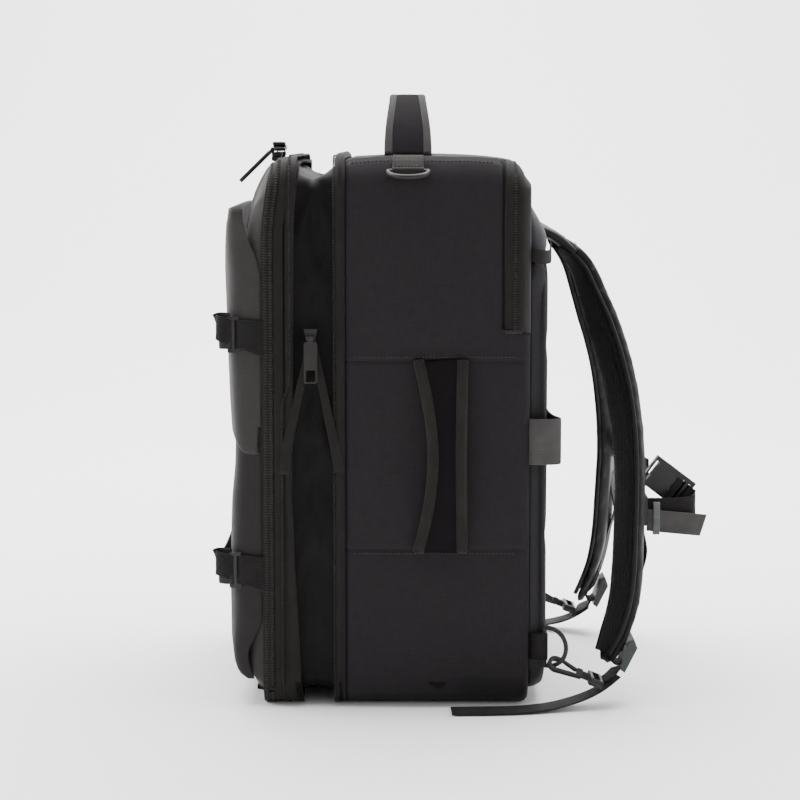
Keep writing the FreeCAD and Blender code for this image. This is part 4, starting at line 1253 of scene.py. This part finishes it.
def yoke():
    """The sloping panel over the strap roots."""
    profile = spline([(0, 116, 440), (0, 121.5, 439), (0, 127, 430), (0, 133.5, 418), (0, 137, 409),
                      (0, 137, 400), (0, 135, 393)], 8)
    u = np.linspace(-1, 1, 61)
    grid = []
    for t, (_, y, z) in zip(np.linspace(0, 1, 30), evenly(profile, 30)):
        side = np.abs(u) ** 14
        grid.append(np.stack([148.5 * u, y - (y - 118) * 0.85 * side + 1.2 * hump(t) * (1 - u * u),
                              z - 3.0 * np.abs(u) ** 6], 1))
    grid = np.array(grid)
    grid[:, :, 1] += ripple(grid, (35, 35, 18), 12.0) * 0.9
    return thickened(piece("yoke_soft", grid, lattice(*grid.shape[:2]), BACK), 4.0)


def upper_back():
    """The flat nylon between the laptop compartment's top edge and the yoke."""
    high = 461
    grid = []
    for z in steps(384, high, 3):
        over = max(0.0, z - (high - ROUND))
        half = 148 - (ROUND - math.sqrt(ROUND ** 2 - over ** 2))
        grid.append([(half * u, 117.4, z) for u in np.linspace(-1, 1, 61)])
    grid = np.array(grid)
    grid[:, :, 1] += ripple(grid, (40, 40, 20), 14.0) * 0.8
    return thickened(piece("upper_back_soft", grid, lattice(*grid.shape[:2]), BACK), 1.6)


stands(upper_back(), "bag", "shell_fabric")
stands(yoke(), "bag", "shell_fabric", "yoke_cover")

LIFTER = [(140, 118.5, 397), (150, 121.5, 396), (153.4, 127, 394), (150, 133, 393),
          (138, 138.4, 393), (112, 140.4, 395), (92, 141.5, 398)]
for sign, hand in SIDES:
    web("load_webbing_" + hand, sided(LIFTER, sign), UPRIGHT, 12, TAB_THICK, BINDING, "bag")

TROLLEY_Z = 234
TROLLEY_HALF = [(x, y, TROLLEY_Z) for x, y in (
    (150.5, 119.4), (155.4, 121.6), (156.2, 130), (155.6, 141), (151.5, 147.4), (143, 147.6),
    (128, 142.8), (100, 140.2), (50, 139.6))]
web("trolley_webbing", right_across(TROLLEY_HALF, (0, 139.4, TROLLEY_Z)), UPRIGHT, 40, 1.7,
    WEB_PALE, "bag", "trolley_strap")
rows = []
for sign, _ in SIDES:
    front, rear = (sign * 155.9, 125.5), (sign * 155.3, 137.0)
    low, high = TROLLEY_Z - 16.5, TROLLEY_Z + 16.5
    rows.append([(*front, low), (*rear, low), (*rear, high), (*front, high), (*front, low),
                 (*rear, high)])
    rows.append([(*front, high), (*rear, low)])
sewn("trolley_stitches", rows, THREAD, "bag", pitch=2.6)


# ---------------------------------------------------------------- shoulder straps

STRAP_ROUTE = [
    (62, 149, 404), (65, 168, 390), (72, 182, 352), (84, 199, 305), (99, 209, 258),
    (113, 213, 203), (121, 211, 150), (127, 209, 98), (132, 199, 60), (136, 187, 36),
]


def strap_frame():
    """The strap's middle line, the directions of its width and outer face, and its sizes."""
    line = spline(STRAP_ROUTE, 12)
    along = tangents(line)
    share = lengths(line) / lengths(line)[-1]
    turn = np.radians(np.interp(share, (0, 0.08, 0.22, 0.42, 0.6, 1), (2, 11, 19, 17, 13, 15)))
    side = unit(np.array(ACROSS) - along * along[:, :1])
    outward = np.cross(along, side)
    outward *= np.sign(outward[len(line) // 2, 1])
    c, s = np.cos(turn)[:, None], np.sin(turn)[:, None]
    wide = np.interp(share, (0, 0.04, 0.3, 0.8, 0.93, 1.0), (46, 54, 60, 58, 46, 27))
    thick = np.interp(share, (0, 0.05, 0.2, 0.85, 1.0), (7, 10, 11.5, 11, 7))
    return line, side * c + outward * s, outward * c - side * s, share, wide, thick


def shoulder_pad():
    line, side, outward, _, wide, thick = strap_frame()
    sections = []
    for i in range(len(line)):
        across, high = pillow_section(wide[i], thick[i], 3.6, 36)
        sections.append(line[i] + np.outer(across, side[i]) + np.outer(high, outward[i]))
    return sweep("strap_pad_soft_right", sections, SLEEK)


pad_right = shoulder_pad()
swollen(pad_right, voxel=4.5, pressure=4.0, cap=2.2, steps=14)
pad_left = mirror_of(pad_right, "strap_pad_soft_left")
for pad, hand in ((pad_right, "right"), (pad_left, "left")):
    stands(pad, "strap_" + hand, "pad_fabric", "strap_pad_" + hand)


def strap_dressing():
    """What is sewn to the right strap: its mesh face, rolled edges, rail webbing and stitches."""
    line, side, outward, share, wide, thick = strap_frame()
    keep = (share > 0.015) & (share < 0.985)
    inner_wide = wide - 9
    sections = []
    for i in np.where(keep)[0]:
        across, high = pillow_section(inner_wide[i], 2.6, 3.0, 24)
        bow = 1.2 * (1 - (2 * across / inner_wide[i]) ** 2)
        sections.append(line[i] + np.outer(across, side[i])
                        + np.outer(high - thick[i] / 2 - bow, outward[i]))
    made = [(sweep("strap_mesh_right", sections, MESH), "pad_fabric")]
    for way, label in ((-1, "inner"), (1, "outer")):
        edge = line + side * (way * (wide / 2 - 3.2))[:, None] - outward * 3.6
        made.append((ribbon("strap_piping_%s_right" % label, edge[keep], side[keep], 4.6, 4.2,
                            SLEEK, power=2.2, count=14), "pad_fabric"))
    rail_keep = (share > 0.06) & (share < 0.97)
    bulge = 5.5 * bell(line[:, 2] - 133, 17)
    rail = line + outward * (6.9 + bulge - 2.2 * (1 - smooth(share, 0.05, 0.16)))[:, None]
    made.append((ribbon("strap_rail_right", rail[rail_keep], side[rail_keep], STRAP_WIDE, WEB_THICK,
                        WEB_DARK), "webbing"))
    rows = []
    for level in (395, 330, 262, 160, 106, 68):
        k = int(np.argmin(np.abs(line[:, 2] - level)))
        across = [line[k] + side[k] * a + outward[k] * 7.9 for a in steps(-11, 11, 2)]
        rows.append(across)
        rows.append([p + tangents(line)[k] * 1.4 for p in across])
    made.append((stitches("strap_stitches_right", rows, THREAD_DARK), "webbing"))
    return made


for part, slot in strap_dressing():
    other = mirror_of(part, part.name.replace("_right", "_left"))
    stands(part, "strap_right", slot)
    stands(other, "strap_left", slot)


# The sleeve at each strap's root runs from the bag to the strap.
ROOT = [(62, 133, 414), (62, 141, 411), (62.2, 150, 405.5), (63.2, 158, 398), (65, 166, 391)]
STRAP_END = [(133.5, 195.5, 52), (135.2, 193, 40), (137, 199.5, 36), (138, 204.5, 40),
             (137.5, 207.5, 41)]
HOOK_WEB = [(149.5, 185.5, 20.8), (147, 189.5, 24.5), (143, 194.5, 27.6), (139, 200, 32.5)]
for sign, hand in SIDES:
    line = spline(sided(ROOT, sign))
    sleeve = ribbon("strap_root_" + hand, line, ACROSS, np.linspace(66, 54, len(line)), 9.5, SLEEK,
                    power=3.6, count=36)
    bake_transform(sleeve)
    web("strap_end_webbing_" + hand, sided(STRAP_END, sign), ACROSS, STRAP_WIDE, WEB_THICK,
        WEB_DARK, "strap_" + hand)
    web("hook_webbing_" + hand, sided(HOOK_WEB, sign), ACROSS, STRAP_WIDE, WEB_THICK, WEB_DARK,
        "strap_" + hand, "strap_webbing_" + hand)


# ---------------------------------------------------------------- the chest strap

web("chest_webbing_left",
    [(-100, 226.6, 199), (-40, 226.6, 199), (20, 226.6, 199), (62, 227.4, 199.5), (94, 229.8, 201)],
    UPRIGHT, CHEST_WIDE, WEB_THICK, WEB_DARK, "sternum_left", "sternum_webbing_left")
web("chest_webbing_right",
    [(118.8, 225.8, 170), (118.9, 240, 170), (118.6, 256, 170), (116.8, 266, 171), (112, 270, 173),
     (106.5, 269.6, 174)],
    UPRIGHT, CHEST_WIDE, WEB_THICK, WEB_DARK, "sternum_right", "sternum_webbing_right")

# Webbing threaded through the buckle's two end slots, in the buckle's own tilted frame.
BUCKLE_PLACE = np.array([100, 229.5, 203.5])
TILT = math.radians(37)
BUCKLE_ALONG = np.array([0, math.cos(TILT), -math.sin(TILT)])
BUCKLE_ACROSS = np.array([0, math.sin(TILT), math.cos(TILT)])
threaded = [BUCKLE_PLACE + [x, 0, 0] + BUCKLE_ALONG * along for x, along in
            ((6.2, 26), (6.0, 30.5), (0, 32.6), (-5.8, 33.8), (-6.0, 36.4), (0, 37.8), (6.2, 39.2),
             (7.5, 45))]
web("buckle_webbing", threaded, BUCKLE_ACROSS, CHEST_WIDE, WEB_THICK, WEB_DARK, "sternum_right")


def chest_tail():
    """The webbing's loose end past its keeper, with a slanted cut."""
    count = 16
    across, thick = pillow_section(1.0, WEB_THICK, 7.0, count)
    sections, flat = [], []
    for t in np.linspace(0, 1, 30):
        low = np.array([121.8 + 1.2 * math.sin(3.0 * t), 226 + 47 * t, 150.5 - 4.5 * t])
        high = np.array([121.6 + 0.8 * math.sin(3.0 * t + 0.5), 226 + 53 * t, 170.0 - 5.0 * t])
        sections.append((low + high) / 2 + np.outer(across, high - low) + np.outer(thick, ACROSS))
        flat.append(np.stack([across * 20, np.full(count, 50 * t), thick], 1))
    return sweep("chest_tail", sections, WEB_PALE, False, flat)


stands(chest_tail(), "sternum_right", "webbing")
keeper = ribbon("chest_keeper", squircle((120.6, 234.6, 161.5), 3.0, 14.0, 0.5, 0.35, 48), DEEP,
                6.0, 1.2, ELASTIC, closed=True, count=12)
stands(keeper, "sternum_right", "webbing")


# ---------------------------------------------------------------- hard parts that stay

# Each material with the radius of its rounded edges and the CAD nodes made of it.
FINISHES = (
    (PLASTIC, 1.1, "ladder_locks sternum_slide_right sternum_slide_left buckle_female buckle_male "
                   "buckle_prong_upper buckle_prong_lower"),
    (GREY_PLASTIC, 0.9, "adjuster_right adjuster_left"),
    (METAL, 0.35, "d_ring_top_right d_ring_top_left d_ring_bottom_right d_ring_bottom_left "
                  "snap_hook_right snap_hook_left hook_gate_right hook_gate_left hook_swivel_right "
                  "hook_swivel_left expansion_slider expansion_puller"),
    (BLACK_METAL, 0.35, "cover_slider_right cover_slider_left cover_puller_right cover_puller_left "
                        "laptop_slider laptop_puller"),
)
for material, radius, names in FINISHES:
    for name in names.split():
        node = dressed(name, material)
        bevel = node.modifiers.new("rounded_edges", "BEVEL")
        bevel.width = radius * MM
        bevel.segments = 3
        bevel.limit_method = "ANGLE"
        bevel.angle_limit = math.radians(40)
        bevel.harden_normals = True

# Each cover slider's body reaches down to the zip under it.
for hand, x in (("right", 60.0), ("left", -8.0)):
    line = [(x + dx, ZIP_Y, 476.6) for dx in (-5, -2, 2, 5)]
    foot = ribbon("cover_slider_foot_" + hand, line, DEEP, 8.6, 5.4, BLACK_METAL, power=4.0)
    stands(foot, "cover_slider_" + hand, "coated_metal")
for hand, start, end, side in (("right", (60, -107.0, 482.6), (60, -133.9, 456.4), ACROSS),
                               ("left", (-2.0, ZIP_Y, 486.6), (30.8, ZIP_Y, 484.6), DEEP)):
    sleeve_line = np.linspace(start, end, 9)
    sleeve = ribbon("cover_puller_sleeve_" + hand, sleeve_line, side, 11.9, 3.7, PLASTIC, power=3.5)
    stands(sleeve, "cover_puller_" + hand, "moulding")


# ---------------------------------------------------------------- floor, backdrop and light

def backdrop():
    """A pale sweep: a floor that curves up behind the bag, seen from the photograph's side."""
    bend, far_x, back_x, high = 1.4, -1.6, 3.2, 4.5
    profile = [(back_x, 0), (far_x, 0)]
    for turn in np.linspace(0, math.pi / 2, 17)[1:]:
        profile.append((far_x - bend * math.sin(turn), bend - bend * math.cos(turn)))
    profile.append((far_x - bend, high))
    points = [(x / MM, y, z / MM) for y in (-4000, 4000) for x, z in profile]
    faces = lattice(2, len(profile))
    paint = Paint("paper", (0.93, 0.93, 0.925), 0.9, specular=0.2)
    grain = paint.noise(3.0, detail=3.0)
    patches = paint.noise(400.0)
    mix = paint.add("ShaderNodeMix", data_type="RGBA", blend_type="MIX")
    mix.inputs["A"].default_value = (0.925, 0.922, 0.918, 1)
    mix.inputs["B"].default_value = (0.94, 0.937, 0.934, 1)
    paint.join(patches, mix.inputs["Factor"])
    paint.join(mix.outputs["Result"], paint.shader.inputs["Base Color"])
    paint.join(paint.range(grain, 0.85, 0.95), paint.shader.inputs["Roughness"])
    made = piece("floor_sweep", points, faces, paint.material)


backdrop()


def lamp(name, place, target, size, power, colour=(1, 1, 1)):
    data = bpy.data.lights.new(name, "AREA")
    data.shape = "RECTANGLE"
    data.size, data.size_y = size
    data.energy = power
    data.color = colour
    made = bpy.data.objects.new(name, data)
    made.location = place
    made.rotation_euler = (Vector(target) - Vector(place)).to_track_quat("-Z", "Y").to_euler()
    bpy.context.scene.collection.objects.link(made)


lamp("overhead_softbox", (-0.6, 0.0, 2.4), (-0.2, 0, 0.2), (2.8, 2.8), 172)
lamp("left_softbox", (-0.3, -2.2, 1.5), (0, 0, 0.3), (1.3, 1.6), 62)
lamp("right_softbox", (-0.3, 2.4, 1.2), (0, 0, 0.3), (1.3, 1.8), 40, (0.96, 0.98, 1.0))
lamp("backdrop_light", (-1.2, 0.0, 2.6), (-3.0, 0, 0.9), (3.0, 0.8), 120)

world = bpy.data.worlds.new("studio")
world.use_nodes = True
sky = world.node_tree.nodes["Background"].inputs
sky["Color"].default_value = (0.95, 0.945, 0.95, 1)
sky["Strength"].default_value = 0.68
bpy.context.scene.world = world
